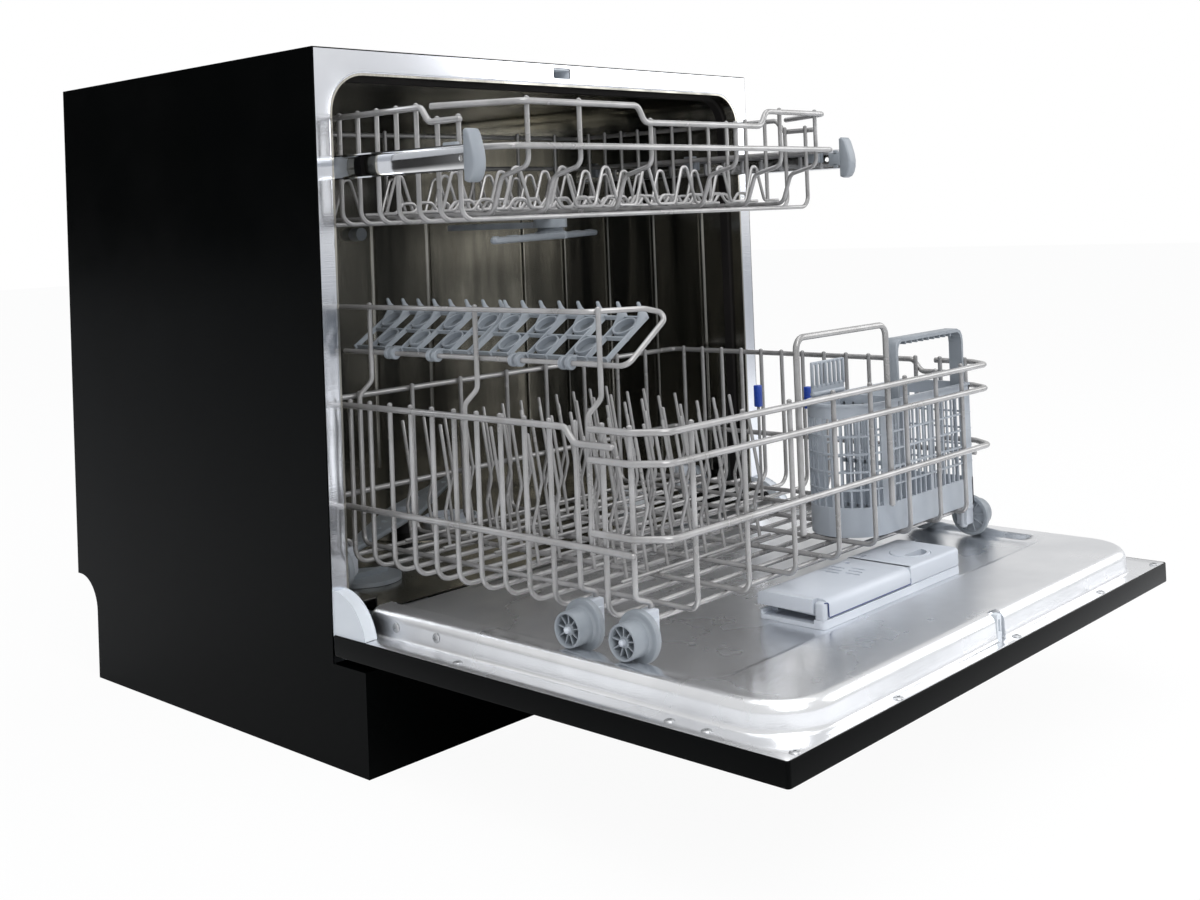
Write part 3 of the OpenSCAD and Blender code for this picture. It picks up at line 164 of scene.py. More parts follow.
def relief_group() -> bpy.types.NodeTree:
    """Fine height of a surface: directional grain and the even pebble of paint or a mould.

    Returns:
        The node group, built once and then shared.
    """
    name = "surface_relief"
    if name in bpy.data.node_groups:
        return bpy.data.node_groups[name]
    group, start, end = new_group(
        name,
        [("Vector", "NodeSocketVector"), ("Stretch", "NodeSocketVector"),
         ("Grain Scale", "NodeSocketFloat"), ("Grain Depth", "NodeSocketFloat"),
         ("Pebble Scale", "NodeSocketFloat"), ("Pebble Depth", "NodeSocketFloat")],
        [("Height", "NodeSocketFloat")],
    )
    stretch = group.nodes.new("ShaderNodeVectorMath")
    stretch.operation = "MULTIPLY"
    grain = group.nodes.new("ShaderNodeTexNoise")
    grain.inputs["Detail"].default_value = 3.0
    pebble = group.nodes.new("ShaderNodeTexNoise")
    pebble.inputs["Detail"].default_value = 1.0
    deep_grain = group.nodes.new("ShaderNodeMath")
    deep_grain.operation = "MULTIPLY"
    deep_pebble = group.nodes.new("ShaderNodeMath")
    deep_pebble.operation = "MULTIPLY"
    total = group.nodes.new("ShaderNodeMath")
    total.operation = "ADD"
    join(start, "Vector", stretch, 0)
    join(start, "Stretch", stretch, 1)
    join(stretch, "Vector", grain, "Vector")
    join(start, "Grain Scale", grain, "Scale")
    join(start, "Vector", pebble, "Vector")
    join(start, "Pebble Scale", pebble, "Scale")
    join(grain, "Fac", deep_grain, 0)
    join(start, "Grain Depth", deep_grain, 1)
    join(pebble, "Fac", deep_pebble, 0)
    join(start, "Pebble Depth", deep_pebble, 1)
    join(deep_grain, "Value", total, 0)
    join(deep_pebble, "Value", total, 1)
    join(total, "Value", end, "Height")
    return group


@dataclass(frozen=True)
class Finish:
    """Procedural finish of one kind of surface.

    Attributes:
        name: Name of the material.
        slot: Material slot of the record that it belongs to.
        color: Main colour.
        shade: Colour of the mottled patches; on the tub's steel a painted dark reflection.
        rough: Least and greatest roughness.
        metallic: 1 for bare metal, less under a coating, 0 for plastic and paint.
        grain: Direction of the grain.
        grain_scale: Scale of the grain's noise, per metre.
        grain_depth: Depth of the grain, from 0 to 1.
        pebble_scale: Scale of the pebble's noise, per metre.
        pebble_depth: Depth of the pebble, from 0 to 1.
        mottle_scale: Scale of the patches, per metre.
        relief: Strength of the bump, from 0 to 1.
        specular: Specular level.
        coat: Weight of a clear coat.
        coat_rough: Roughness of that coat.
        ior: Index of refraction.
        streak: Stretch of the patches along each axis, which draws the tub's painted reflections as vertical
            streaks.
    """

    name: str
    slot: str
    color: Color
    shade: Color
    rough: tuple[float, float]
    metallic: float = 0.0
    grain: Grain = Grain.NONE
    grain_scale: float = 900.0
    grain_depth: float = 0.0
    pebble_scale: float = 1400.0
    pebble_depth: float = 0.3
    mottle_scale: float = 9.0
    relief: float = 0.06
    specular: float = 0.5
    coat: float = 0.0
    coat_rough: float = 0.12
    ior: float = 1.5
    streak: tuple[float, float, float] = (1.0, 1.0, 1.0)

    def material(self) -> bpy.types.Material:
        """Builds the material, or returns it if it exists.

        Returns:
            The material.
        """
        if self.name in bpy.data.materials:
            return bpy.data.materials[self.name]
        material = bpy.data.materials.new(self.name)
        material.use_nodes = True
        tree = material.node_tree
        shader = tree.nodes["Principled BSDF"]
        shader.inputs["Metallic"].default_value = self.metallic
        shader.inputs["Specular IOR Level"].default_value = self.specular
        shader.inputs["IOR"].default_value = self.ior
        shader.inputs["Coat Weight"].default_value = self.coat
        shader.inputs["Coat Roughness"].default_value = self.coat_rough
        place = tree.nodes.new("ShaderNodeTexCoord")
        mottle = tree.nodes.new("ShaderNodeGroup")
        mottle.node_tree = mottle_group()
        mottle.inputs["Stretch"].default_value = self.streak
        mottle.inputs["Scale"].default_value = self.mottle_scale
        mottle.inputs["Color A"].default_value = (*self.color, 1.0)
        mottle.inputs["Color B"].default_value = (*self.shade, 1.0)
        mottle.inputs["Roughness A"].default_value = self.rough[0]
        mottle.inputs["Roughness B"].default_value = self.rough[1]
        relief = tree.nodes.new("ShaderNodeGroup")
        relief.node_tree = relief_group()
        relief.inputs["Stretch"].default_value = self.grain.value
        relief.inputs["Grain Scale"].default_value = self.grain_scale
        relief.inputs["Grain Depth"].default_value = self.grain_depth
        relief.inputs["Pebble Scale"].default_value = self.pebble_scale
        relief.inputs["Pebble Depth"].default_value = self.pebble_depth
        bump = tree.nodes.new("ShaderNodeBump")
        bump.inputs["Strength"].default_value = self.relief
        bump.inputs["Distance"].default_value = MM
        join(place, "Object", mottle, "Vector")
        join(place, "Object", relief, "Vector")
        join(mottle, "Color", shader, "Base Color")
        join(mottle, "Roughness", shader, "Roughness")
        join(relief, "Height", bump, "Height")
        join(bump, "Normal", shader, "Normal")
        return material


ENAMEL = Finish("gloss_black_enamel", "black_enamel", (0.0014, 0.0018, 0.0018), (0.001, 0.0013, 0.0013),
                (0.16, 0.24), pebble_scale=700.0, relief=0.03, ior=1.12)
BLACK_MOULDED = Finish("black_moulding", "black_plastic", (0.012, 0.012, 0.013), (0.02, 0.02, 0.022),
                       (0.45, 0.6), relief=0.15, specular=0.25)
BLACK_RUBBER = Finish("black_gasket", "black_rubber", (0.010, 0.009, 0.009), (0.018, 0.016, 0.016),
                      (0.6, 0.75), relief=0.2, specular=0.2)
# Painted reflections and shade: warm light and near-black patches in vertical streaks stand in for what the
# steel inside the tub mirrors.
TUB_STEEL_PAINTED_REFLECTIONS = Finish("tub_steel_painted_reflections", "stainless", (0.62, 0.60, 0.54), (0.05, 0.053, 0.052), (0.08, 0.20),
                   metallic=1.0, grain=Grain.ALONG_Z, grain_depth=1.0, pebble_depth=0.0, mottle_scale=11.0,
                   relief=0.10, streak=(1.0, 1.0, 0.10))
FRAME_STEEL = Finish("front_frame_steel", "stainless", (0.86, 0.88, 0.92), (0.72, 0.74, 0.79), (0.08, 0.16),
                     metallic=1.0, grain=Grain.ALONG_X, grain_depth=1.0, pebble_depth=0.0, relief=0.04)
RAIL_STEEL = Finish("rail_steel", "stainless", (0.90, 0.91, 0.93), (0.70, 0.71, 0.73), (0.05, 0.10),
                    metallic=1.0, grain=Grain.ALONG_Y, grain_depth=0.6, pebble_depth=0.0, relief=0.03)
LINER_STEEL = Finish("liner_steel", "stainless", (0.90, 0.91, 0.93), (0.74, 0.75, 0.77), (0.20, 0.36),
                     metallic=1.0, grain=Grain.ALONG_X, grain_depth=1.0, pebble_depth=0.1, mottle_scale=6.0,
                     relief=0.10)
ZINC = Finish("zinc_plate", "zinc_steel", (0.50, 0.51, 0.52), (0.42, 0.43, 0.45), (0.35, 0.5), metallic=1.0,
              pebble_scale=500.0, relief=0.12, mottle_scale=30.0)
WIRE_COAT = Finish("wire_coating", "coated_wire", (0.40, 0.395, 0.395), (0.29, 0.285, 0.28), (0.18, 0.28),
                   metallic=0.3, pebble_scale=900.0, relief=0.10, mottle_scale=25.0, specular=0.7, coat=0.6)
BLUE_GREY = Finish("blue_grey_moulding", "blue_grey_plastic", (0.31, 0.34, 0.37), (0.25, 0.275, 0.305),
                   (0.30, 0.40), relief=0.12, mottle_scale=14.0)
# Painted light: the same blue-grey plastic made lighter for the cutlery basket's lattice and lid, where it
# stands in the light.
BASKET_GREY_PAINTED_LIGHT = Finish("basket_moulding_painted_light", "blue_grey_plastic", (0.44, 0.475, 0.52), (0.39, 0.425, 0.47),
                     (0.30, 0.40), relief=0.12, mottle_scale=14.0)
LIGHT_GREY = Finish("light_grey_moulding", "light_grey_plastic", (0.61, 0.645, 0.70), (0.57, 0.605, 0.66),
                    (0.34, 0.44), relief=0.08)
WHITE = Finish("white_moulding", "white_plastic", (0.76, 0.80, 0.84), (0.71, 0.75, 0.80), (0.35, 0.45),
               relief=0.08)
ROYAL_BLUE = Finish("royal_blue_moulding", "blue_plastic", (0.02, 0.07, 0.42), (0.015, 0.055, 0.34),
                    (0.28, 0.4), relief=0.08)
# Dark blue painted shade: the line in the gap round the detergent flap and the floors of the flap's slots.
GAP_SHADE_BLUE = Finish("painted_gap_shade", "light_grey_plastic", (0.035, 0.06, 0.20), (0.03, 0.05, 0.16), (0.5, 0.6))

# Finish of each kept node, by its material slot in the record
NODE_FINISH = {
    "black_enamel": ENAMEL,
    "black_plastic": BLACK_MOULDED,
    "black_rubber": BLACK_RUBBER,
    "stainless": TUB_STEEL_PAINTED_REFLECTIONS,
    "zinc_steel": ZINC,
    "coated_wire": WIRE_COAT,
    "blue_grey_plastic": BLUE_GREY,
    "light_grey_plastic": LIGHT_GREY,
    "white_plastic": WHITE,
    "blue_plastic": ROYAL_BLUE,
}


def dress(node: bpy.types.Object, finish: Finish) -> None:
    """Gives a kept node of the frame one finish all over.

    Args:
        node: The node's object.
        finish: The finish.
    """
    node.data.materials.clear()
    node.data.materials.append(finish.material())


# ---- mesh work ----


def turns(count: int) -> list[float]:
    """Angles of equal steps once round a circle."""
    return [2 * math.pi * k / count for k in range(count)]


def bend_path(points: Sequence[Point], radius: float, step: float = 15.0) -> list[Vector]:
    """Rounds the corners of a path.

    Args:
        points: Corners of the path.
        radius: Radius of each bend, less where a leg is short.
        step: Greatest angle between two points of a bend, in degrees.

    Returns:
        The rounded path.
    """
    corners = [Vector(p) for p in points]
    path = [corners[0]]
    for before, here, after in zip(corners, corners[1:], corners[2:]):
        u = (here - before).normalized()
        v = (after - here).normalized()
        turn = u.angle(v, 0.0)
        if turn < math.radians(2.0):
            path.append(here)
            continue
        reach = min(radius * math.tan(turn / 2), 0.48 * (here - before).length, 0.48 * (after - here).length)
        bend = reach / math.tan(turn / 2)
        inward = (v - u * u.dot(v)).normalized()
        centre = here - u * reach + inward * bend
        count = max(2, math.ceil(math.degrees(turn) / step))
        for i in range(count + 1):
            angle = turn * i / count
            path.append(centre + u * bend * math.sin(angle) - inward * bend * math.cos(angle))
    path.append(corners[-1])
    return path


def round_rect(x0: float, x1: float, y0: float, y1: float, radii: Sequence[float],
               steps: int = 8) -> list[tuple[float, float]]:
    """Outline of a rectangle with round corners.

    Args:
        x0: Left edge.
        x1: Right edge.
        y0: Lower edge.
        y1: Upper edge.
        radii: Corner radii, anticlockwise from the lower left.
        steps: Points less one in each corner.

    Returns:
        The outline, anticlockwise.
    """
    corners = [(x0, y0, 180, 1, 1), (x1, y0, 270, -1, 1), (x1, y1, 0, -1, -1), (x0, y1, 90, 1, -1)]
    outline = []
    for (x, y, start, sx, sy), r in zip(corners, radii):
        for i in range(steps + 1):
            angle = math.radians(start + 90 * i / steps)
            outline.append((x + sx * r + r * math.cos(angle), y + sy * r + r * math.sin(angle)))
    return outline


class Sketch:
    """Collects the faces of one piece, in millimetres, and turns them into a scene object."""

    def __init__(self) -> None:
        """Starts with no faces."""
        self.verts: list[Vector] = []
        self.faces: list[tuple[int, ...]] = []
        self.place = Matrix.Identity(4)

    def add(self, verts: Iterable[Point], faces: Iterable[Sequence[int]]) -> None:
        """Adds faces, moved by the current placement.

        Args:
            verts: Corners of the faces.
            faces: Corner numbers of each face.
        """
        base = len(self.verts)
        self.verts += [self.place @ Vector(v) for v in verts]
        self.faces += [tuple(base + i for i in face) for face in faces]

    def loft(self, rings: Sequence[Sequence[Point]], closed: bool = True, cap_start: bool = True,
             cap_end: bool = True) -> None:
        """Joins rings of equally many points with quads.

        Args:
            rings: The rings, in order.
            closed: Whether each ring closes on itself.
            cap_start: Whether the first ring is filled.
            cap_end: Whether the last ring is filled.
        """
        n = len(rings[0])
        faces: list[tuple[int, ...]] = []
        for r in range(len(rings) - 1):
            for i in range(n if closed else n - 1):
                j = (i + 1) % n
                faces.append((r * n + i, r * n + j, (r + 1) * n + j, (r + 1) * n + i))
        if cap_start:
            faces.append(tuple(reversed(range(n))))
        if cap_end:
            faces.append(tuple(range((len(rings) - 1) * n, len(rings) * n)))
        self.add([p for ring in rings for p in ring], faces)

    def wire(self, points: Sequence[Point], d: float, bend: float = 0.0, sides: int = 12,
             swell: float = 0.0) -> None:
        """Adds a round wire with domed ends.

        Args:
            points: Corners of the wire's path.
            d: Diameter.
            bend: Radius of the bends.
            sides: Faces around the wire.
            swell: How much thicker the coating is at the ends.
        """
        path = bend_path(points, bend) if bend else [Vector(p) for p in points]
        r = d / 2
        tangents = []
        for i, p in enumerate(path):
            ahead = path[min(i + 1, len(path) - 1)] - p
            behind = p - path[max(i - 1, 0)]
            tangents.append((ahead.normalized() + behind.normalized()).normalized())
        side = tangents[0].orthogonal().normalized()
        rings = []
        for i, (p, t) in enumerate(zip(path, tangents)):
            side = (side - t * side.dot(t)).normalized()
            other = t.cross(side)
            if i == 0:
                rings += self.dome(p, -t, side, other, r + swell, sides)[::-1]
            rings.append([p + (side * math.cos(a) + other * math.sin(a)) * r for a in turns(sides)])
            if i == len(path) - 1:
                rings += self.dome(p, t, side, other, r + swell, sides)
        self.loft(rings)

    @staticmethod
    def dome(p: Vector, out: Vector, side: Vector, other: Vector, r: float, sides: int) -> list[list[Vector]]:
        """Rings of a round wire end.

        Args:
            p: Centre of the wire at its end.
            out: Direction in which the wire ends.
            side: First direction across the wire.
            other: Second direction across the wire.
            r: Radius of the end.
            sides: Points in each ring.

        Returns:
            The rings, outwards.
        """
        rings = []
        sunk = 0.55
        for lift in (25.0, 50.0, 72.0, 86.0):
            a = math.radians(lift)
            centre = p + out * (r * math.sin(a) - r * sunk)
            rings.append([centre + (side * math.cos(b) + other * math.sin(b)) * r * math.cos(a)
                          for b in turns(sides)])
        return rings

    def lathe(self, profile: Sequence[tuple[float, float]], centre: Point = (0, 0, 0), axis: str = "Z",
              sides: int = 48) -> None:
        """Adds a turned solid.

        Args:
            profile: Radius and height of each point of the profile, from one end to the other.
            centre: Where the profile's height 0 lies.
            axis: X, Y or Z.
            sides: Faces around the axis.
        """
        turn = {"X": Matrix.Rotation(math.pi / 2, 4, "Y"), "Y": Matrix.Rotation(-math.pi / 2, 4, "X"),
                "Z": Matrix.Identity(4)}[axis]
        foot = Vector(centre)
        self.loft([[turn @ Vector((r * math.cos(a), r * math.sin(a), h)) + foot for a in turns(sides)]
                   for r, h in profile])

    def plate(self, outline: Sequence[tuple[float, float]], z0: float, z1: float, edge: float = 0.0,
              axis: str = "Z", steps: int = 3) -> None:
        """Adds an extruded outline with rounded rims.

        Args:
            outline: Outline, anticlockwise.
            z0: Lower end along the axis.
            z1: Upper end along the axis.
            edge: Radius of the rims.
            axis: X, Y or Z; the outline lies across it.
            steps: Faces across each rim.
        """
        arcs = [math.pi / 2 * i / steps for i in range(steps + 1)] if edge else [0.0]
        levels = [(edge * (1 - math.cos(a)), z0 + edge * (1 - math.sin(a))) for a in reversed(arcs)]
        levels += [(edge * (1 - math.cos(a)), z1 - edge * (1 - math.sin(a))) for a in arcs]
        lay = {"X": lambda u, v, h: (h, u, v), "Y": lambda u, v, h: (u, h, v),
               "Z": lambda u, v, h: (u, v, h)}[axis]
        self.loft([[lay(u, v, h) for u, v in inset(outline, shrink)] for shrink, h in levels])

    def block(self, low: Point, high: Point, edge: float = 0.0, steps: int = 2) -> None:
        """Adds a box with rounded edges.

        Args:
            low: Lowest corner.
            high: Highest corner.
            edge: Radius of the edges.
            steps: Faces across each edge.
        """
        mesh = bmesh.new()
        bmesh.ops.create_cube(mesh, size=1.0)
        size = [h - l for l, h in zip(low, high)]
        for v in mesh.verts:
            v.co = Vector([l + (c + 0.5) * s for c, l, s in zip(v.co, low, size)])
        if edge:
            bmesh.ops.bevel(mesh, geom=mesh.edges[:], offset=min(edge, 0.45 * min(size)), segments=steps,
                            profile=0.5, affect="EDGES")
        mesh.verts.index_update()
        self.add([v.co for v in mesh.verts], [[v.index for v in f.verts] for f in mesh.faces])
        mesh.free()

    def mesh(self, name: str) -> bpy.types.Mesh:
        """Turns the faces into a mesh in metres, with its normals outwards.

        Args:
            name: Name of the mesh.

        Returns:
            The mesh.
        """
        mesh = bpy.data.meshes.new(name)
        mesh.from_pydata([v * MM for v in self.verts], [], self.faces)
        work = bmesh.new()
        work.from_mesh(mesh)
        bmesh.ops.recalc_face_normals(work, faces=work.faces[:])
        work.to_mesh(mesh)
        work.free()
        return mesh

    def build(self, name: str, finish: Finish, body: str, nodes: Sequence[str] = (),
              crease: float = 35.0) -> bpy.types.Object:
        """Makes the scene object and ties it to the frame.

        Args:
            name: Name of the piece.
            finish: Its finish.
            body: Body that it rides on.
            nodes: Frame nodes that it stands for.
            crease: Angle above which an edge stays sharp, in degrees.

        Returns:
            The piece.
        """
        piece = bpy.data.objects.new(name, self.mesh(name))
        bpy.context.scene.collection.objects.link(piece)
        return finish_piece(piece, finish, body, nodes, crease)


def inset(outline: Sequence[tuple[float, float]], shrink: float) -> list[tuple[float, float]]:
    """Moves an outline inwards along its corners' normals.

    Args:
        outline: Outline, anticlockwise.
        shrink: Distance.

    Returns:
        The smaller outline, with as many points.
    """
    if not shrink:
        return list(outline)
    count = len(outline)
    moved = []
    for i in range(count):
        p = Vector(outline[i])
        u = (p - Vector(outline[i - 1])).normalized()
        v = (Vector(outline[(i + 1) % count]) - p).normalized()
        n = Vector((-(u + v).y, (u + v).x)).normalized()
        spread = max(0.35, n.dot(Vector((-u.y, u.x))))
        moved.append(tuple(p + n * shrink / spread))
    return moved


def sharpen(piece: bpy.types.Object, crease: float = 35.0) -> None:
    """Marks the edges that turn by more than an angle as sharp.

    Args:
        piece: The piece.
        crease: The angle, in degrees.
    """
    piece.data.set_sharp_from_angle(angle=math.radians(crease))


def finish_piece(piece: bpy.types.Object, finish: Finish, body: str, nodes: Sequence[str],
                 crease: float) -> bpy.types.Object:
    """Shades a piece, gives it its finish and ties it to the frame.

    Args:
        piece: The piece, in place.
        finish: Its finish.
        body: Body that it rides on.
        nodes: Frame nodes that it stands for.
        crease: Angle above which an edge stays sharp, in degrees.

    Returns:
        The piece.
    """
    piece.data.shade_smooth()
    sharpen(piece, crease)
    piece.data.materials.clear()
    piece.data.materials.append(finish.material())
    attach(piece, body)
    if nodes:
        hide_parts(*nodes)
    LOG.info("%s: %d faces on %s", piece.name, len(piece.data.polygons), body)
    return piece


def cut(piece: bpy.types.Object, tools: Sequence[Sketch]) -> None:
    """Cuts closed shapes out of a piece.

    Args:
        piece: The piece.
        tools: The shapes.
    """
    for number, tool in enumerate(tools):
        cutter = bpy.data.objects.new(f"cutter_{number}", tool.mesh(f"cutter_{number}"))
        bpy.context.scene.collection.objects.link(cutter)
        step = piece.modifiers.new("cut", "BOOLEAN")
        step.object = cutter
        step.operation = "DIFFERENCE"
        step.solver = "EXACT"
        bpy.context.view_layer.update()
        result = bpy.data.meshes.new_from_object(piece.evaluated_get(bpy.context.evaluated_depsgraph_get()))
        piece.modifiers.clear()
        piece.data = result
        bpy.data.objects.remove(cutter)


# ---- lower rack ----


@dataclass
class LowerRack:
    """Wheeled wire rack that stands on the open door.

    Attributes:
        front_y: Place of the front rims.
        length: Depth of the rack.
        half_w: Half of the width.
        top_z: Height of the upper rim.
        mid_z: Height of the middle front rim.
        low_z: Height of the lower front rim.
        side_z: Height of the lower rim at the sides.
        floor_z: Height of the wires that cross the floor.
        rib_pitch: Spacing of the upright wires at the sides.
        corner: How far the front rims' corners are cut off along the sides.
        inset: How far they are cut off along the front.
        tine_pitch: Spacing of the tines in a row.
        tine_top_z: Height of the tines' tips.
        row_pitch: Spacing of the rows of tines.
        runner_x: Places of the wires that run from front to rear.
        wheel_ribs: Numbers of the side wires that carry a wheel.
        first_rib: Distance of the first side wire from the front rims.
        first_row: Distance of the first row of tines from the front rims.
        rim_end: How far the front rims run on along the sides behind their corners.
        side_turn: Distance from the front rims to where the side rim comes up to full height.
        side_dip: How much lower the side rim starts.
        peg: How far the upright wires stand above the rim.
        jog: How far a wheel's side wire steps inwards above the wheel.
        handle_half: Half of the handle's width.
        handle_rise: Height of the handle above the upper rim.
        kink: How far the tines are kinked.
        grip_w: Width of a folding row's grip.
        grip_h: Height of that grip.
        wheel_track: Height of the surface that the wheels roll on.
        hub_d: Diameter of a wheel's rolling hub.
        flange_d: Diameter of a wheel's guide flange.
        hub_w: Width of the rolling hub.
        flange_w: Width of the guide flange.
        axle_d: Diameter of an axle.
        spokes: Number of spokes in a wheel.
        rib_x: Distance of the side wires from the middle.
        rear_y: Place of the rear rims.
        runner_z: Height of the long wires.
        tine_base_z: Height of the rows' base wires.
        wheel_z: Height of the axles.
        hub_x: Distance of a wheel's inner face from the middle.
        jog_x: Distance of the stepped wires from the middle.
        jog_z: Height of the step.
    """

    front_y: float = -540.0
    length: float = 420.0
    half_w: float = 250.0
    top_z: float = 299.0
    mid_z: float = 276.0
    low_z: float = 221.0
    side_z: float = 209.0
    floor_z: float = 157.0
    rib_pitch: float = 28.5
    corner: float = 24.0
    inset: float = 16.0
    tine_pitch: float = 25.0
    tine_top_z: float = 274.0
    row_pitch: float = 55.0
    runner_x: tuple[float, ...] = (-203, -141, -80, -18, 38, 95, 148, 195)
    wheel_ribs: tuple[int, ...] = (-1, 1, 12)
    first_rib: float = 29.0
    first_row: float = 100.0
    rim_end: float = 42.0
    side_turn: float = 92.0
    side_dip: float = 12.0
    peg: float = 4.0
    jog: float = 16.0
    handle_half: float = 67.0
    handle_rise: float = 53.0
    kink: float = 5.0
    grip_w: float = 7.0
    grip_h: float = 22.0
    wheel_track: float = 134.3
    hub_d: float = 27.4
    flange_d: float = 40.0
    hub_w: float = 16.0
    flange_w: float = 6.0
    axle_d: float = 5.0
    spokes: int = 9
    rib_x: float = field(init=False)
    rear_y: float = field(init=False)
    runner_z: float = field(init=False)
    tine_base_z: float = field(init=False)
    wheel_z: float = field(init=False)
    hub_x: float = field(init=False)
    jog_x: float = field(init=False)
    jog_z: float = field(init=False)

    def __post_init__(self) -> None:
        """Works out the places that follow from the sizes."""
        self.rib_x = self.half_w - (RIM_WIRE + RIB_WIRE) / 2 - WIRE_GAP
        self.rear_y = self.front_y + self.length
        self.runner_z = self.floor_z + RIB_WIRE + WIRE_GAP
        self.tine_base_z = self.runner_z + (RIB_WIRE + TINE_WIRE) / 2 + WIRE_GAP
        self.wheel_z = self.wheel_track + self.hub_d / 2
        self.hub_x = self.rib_x - 5
        self.jog_x = self.rib_x - self.jog
        self.jog_z = self.wheel_z + self.flange_d / 2 + 2

    def rib_y(self, number: float) -> float:
        """Place of an upright side wire, counted from the front, where number -1 is the first."""
        return self.front_y + self.first_rib + self.rib_pitch * (1 + number)

    def row_y(self, number: int) -> float:
        """Place of a row of tines, counted from the front."""
        return self.front_y + self.first_row + self.row_pitch * number

    def rims(self) -> None:
        """Builds the rims around the rack."""
        sketch = Sketch()
        x, y, rear = self.half_w, self.front_y, self.rear_y
        turn, end = y + self.corner, y + self.corner + self.rim_end
        for z in (self.top_z, self.mid_z, self.low_z):
            sketch.wire([(-x, end, z), (-x, turn, z), (-x + self.inset, y, z),
                         (x - self.inset, y, z), (x, turn, z), (x, end, z)], RIM_WIRE, 12, 14)
        rise, start, dip = y + self.side_turn, y + self.side_turn - 50, self.top_z - self.side_dip
        sketch.wire([(-x, start, dip), (-x, rise - 10, dip), (-x, rise, self.top_z), (-x, rear, self.top_z),
                     (x, rear, self.top_z), (x, rise, self.top_z), (x, rise - 10, dip), (x, start, dip)],
                    RIM_WIRE, 8, 14)
        sketch.wire([(-x, turn, self.side_z), (-x, rear, self.side_z), (x, rear, self.side_z),
                     (x, turn, self.side_z)], RIM_WIRE, 8, 14)
        sketch.build("lower_rack_rim_wires", WIRE_COAT, "lower_rack", ["lower_rack_rims"])

    def ribs(self) -> None:
        """Builds the wires that cross the floor and rise at both sides."""
        sketch = Sketch()
        top = self.top_z + self.peg
        for number in range(-1, 13):
            y = self.rib_y(number)
            if number in self.wheel_ribs:
                half = [(-self.rib_x, top), (-self.rib_x, self.jog_z + 6), (-self.jog_x, self.jog_z),
                        (-self.jog_x, self.floor_z)]
                bend = 5.0
            else:
                half = [(-self.rib_x, top), (-self.rib_x, self.floor_z)]
                bend = 14.0
            path = half + [(-x, z) for x, z in reversed(half)]
            sketch.wire([(x, y, z) for x, z in path], RIB_WIRE, bend, 12, SWELL)
        sketch.build("lower_rack_cross_wires", WIRE_COAT, "lower_rack", ["lower_rack_ribs"])

    def runners(self) -> None:
        """Builds the wires that run from front to rear and rise at both ends."""
        sketch = Sketch()
        lead = (RIM_WIRE + RIB_WIRE) / 2 + WIRE_GAP
        y0, y1, top = self.front_y + lead, self.rear_y - lead, self.top_z + self.peg
        for x in self.runner_x:
            sketch.wire([(x, y0, top), (x, y0, self.runner_z), (x, y1, self.runner_z), (x, y1, top)],
                        RIB_WIRE, 9, 12, SWELL)
        sketch.build("lower_rack_long_wires", WIRE_COAT, "lower_rack", ["lower_rack_runners"])

    def handle(self) -> None:
        """Builds the arched handle at the front."""
        sketch = Sketch()
        x, y = self.handle_half, self.front_y + RIM_WIRE + WIRE_GAP
        low, top = self.runner_z + 30, self.top_z + self.handle_rise
        sketch.wire([(-x, y, low), (-x, y, top), (x, y, top), (x, y, low)], RIM_WIRE, 10, 14)
        sketch.build("lower_rack_pull_handle", WIRE_COAT, "lower_rack", ["lower_rack_handle"])

    def tine_row(self, sketch: Sketch, y: float, x0: float, count: int, past: float = 10.0,
                 foot: float = TINE_WIRE + WIRE_GAP) -> None:
        """Adds a row of kinked tines on its base wire.

        Args:
            sketch: Sketch that takes the row.
            y: Place of the base wire.
            x0: Place of the first tine.
            count: Number of tines.
            past: How far the base wire runs on past the last tine.
            foot: Distance of the tines' feet from the base wire.
        """
        z = self.tine_base_z
        sketch.wire([(x0 - 10, y, z), (x0 + (count - 1) * self.tine_pitch + past, y, z)], TINE_WIRE)
        base, low, lean = y + foot, self.foot_z(), self.kink
        for i in range(count):
            x = x0 + i * self.tine_pitch
            sketch.wire([(x, base, low), (x, base + lean, low + 32), (x, base - lean / 2, low + 54),
                         (x, base + lean * 1.6, self.tine_top_z)], TINE_WIRE, 9, 10, 0.15)

    def foot_z(self) -> float:
        """Height at which a tine starts beside its base wire."""
        return self.tine_base_z - TINE_WIRE / 2 + 0.3

    def tines(self) -> None:
        """Builds the fixed rows and the two rows that fold."""
        x0, half = -176.0, self.tine_pitch / 2
        fixed = Sketch()
        for number, start, count in ((0, x0, 8), (3, x0 + half, 11), (4, x0, 12), (5, x0, 12)):
            self.tine_row(fixed, self.row_y(number), start, count)
        fixed.build("lower_rack_fixed_tines", WIRE_COAT, "lower_rack", ["lower_rack_tines"])
        right = self.runner_x[6]
        self.folding_row("front", self.row_y(1), x0 + half, 8, right - 1)
        self.folding_row("rear", self.row_y(2), x0, 12, right - 12)

    def folding_row(self, word: str, y: float, start: float, count: int, grip_x: float) -> None:
        """Builds one row that folds, with the grip at its right end.

        Args:
            word: Word that names the row.
            y: Place of the base wire.
            start: Place of the first tine.
            count: Number of tines.
            grip_x: Place of the grip.
        """
        row, reach = Sketch(), self.grip_w / 2
        back = -TINE_WIRE - WIRE_GAP - 0.3
        self.tine_row(row, y, start, count, grip_x + reach - start - (count - 1) * self.tine_pitch, back)
        foot, top = y + back, self.tine_top_z + 6
        row.wire([(grip_x, foot, self.foot_z()), (grip_x, foot, top - self.grip_h + 4)], TINE_WIRE, 0, 10)
        row.build(f"{word}_folding_tines", WIRE_COAT, f"{word}_tines", [f"tine_row_{word}"])
        grip = Sketch()
        grip.plate(round_rect(grip_x - reach, grip_x + reach, foot - reach, foot + reach, [1.6] * 4, 3),
                   top - self.grip_h, top, 1.0)
        for i in range(3):
            z = top - 6 - 5 * i
            grip.block((grip_x - reach - 0.4, foot - 2.4, z),
                       (grip_x + reach + 0.4, foot + 2.4, z + 1.6), 0.5)
        grip.build(f"{word}_folding_grip", ROYAL_BLUE, f"{word}_tines")

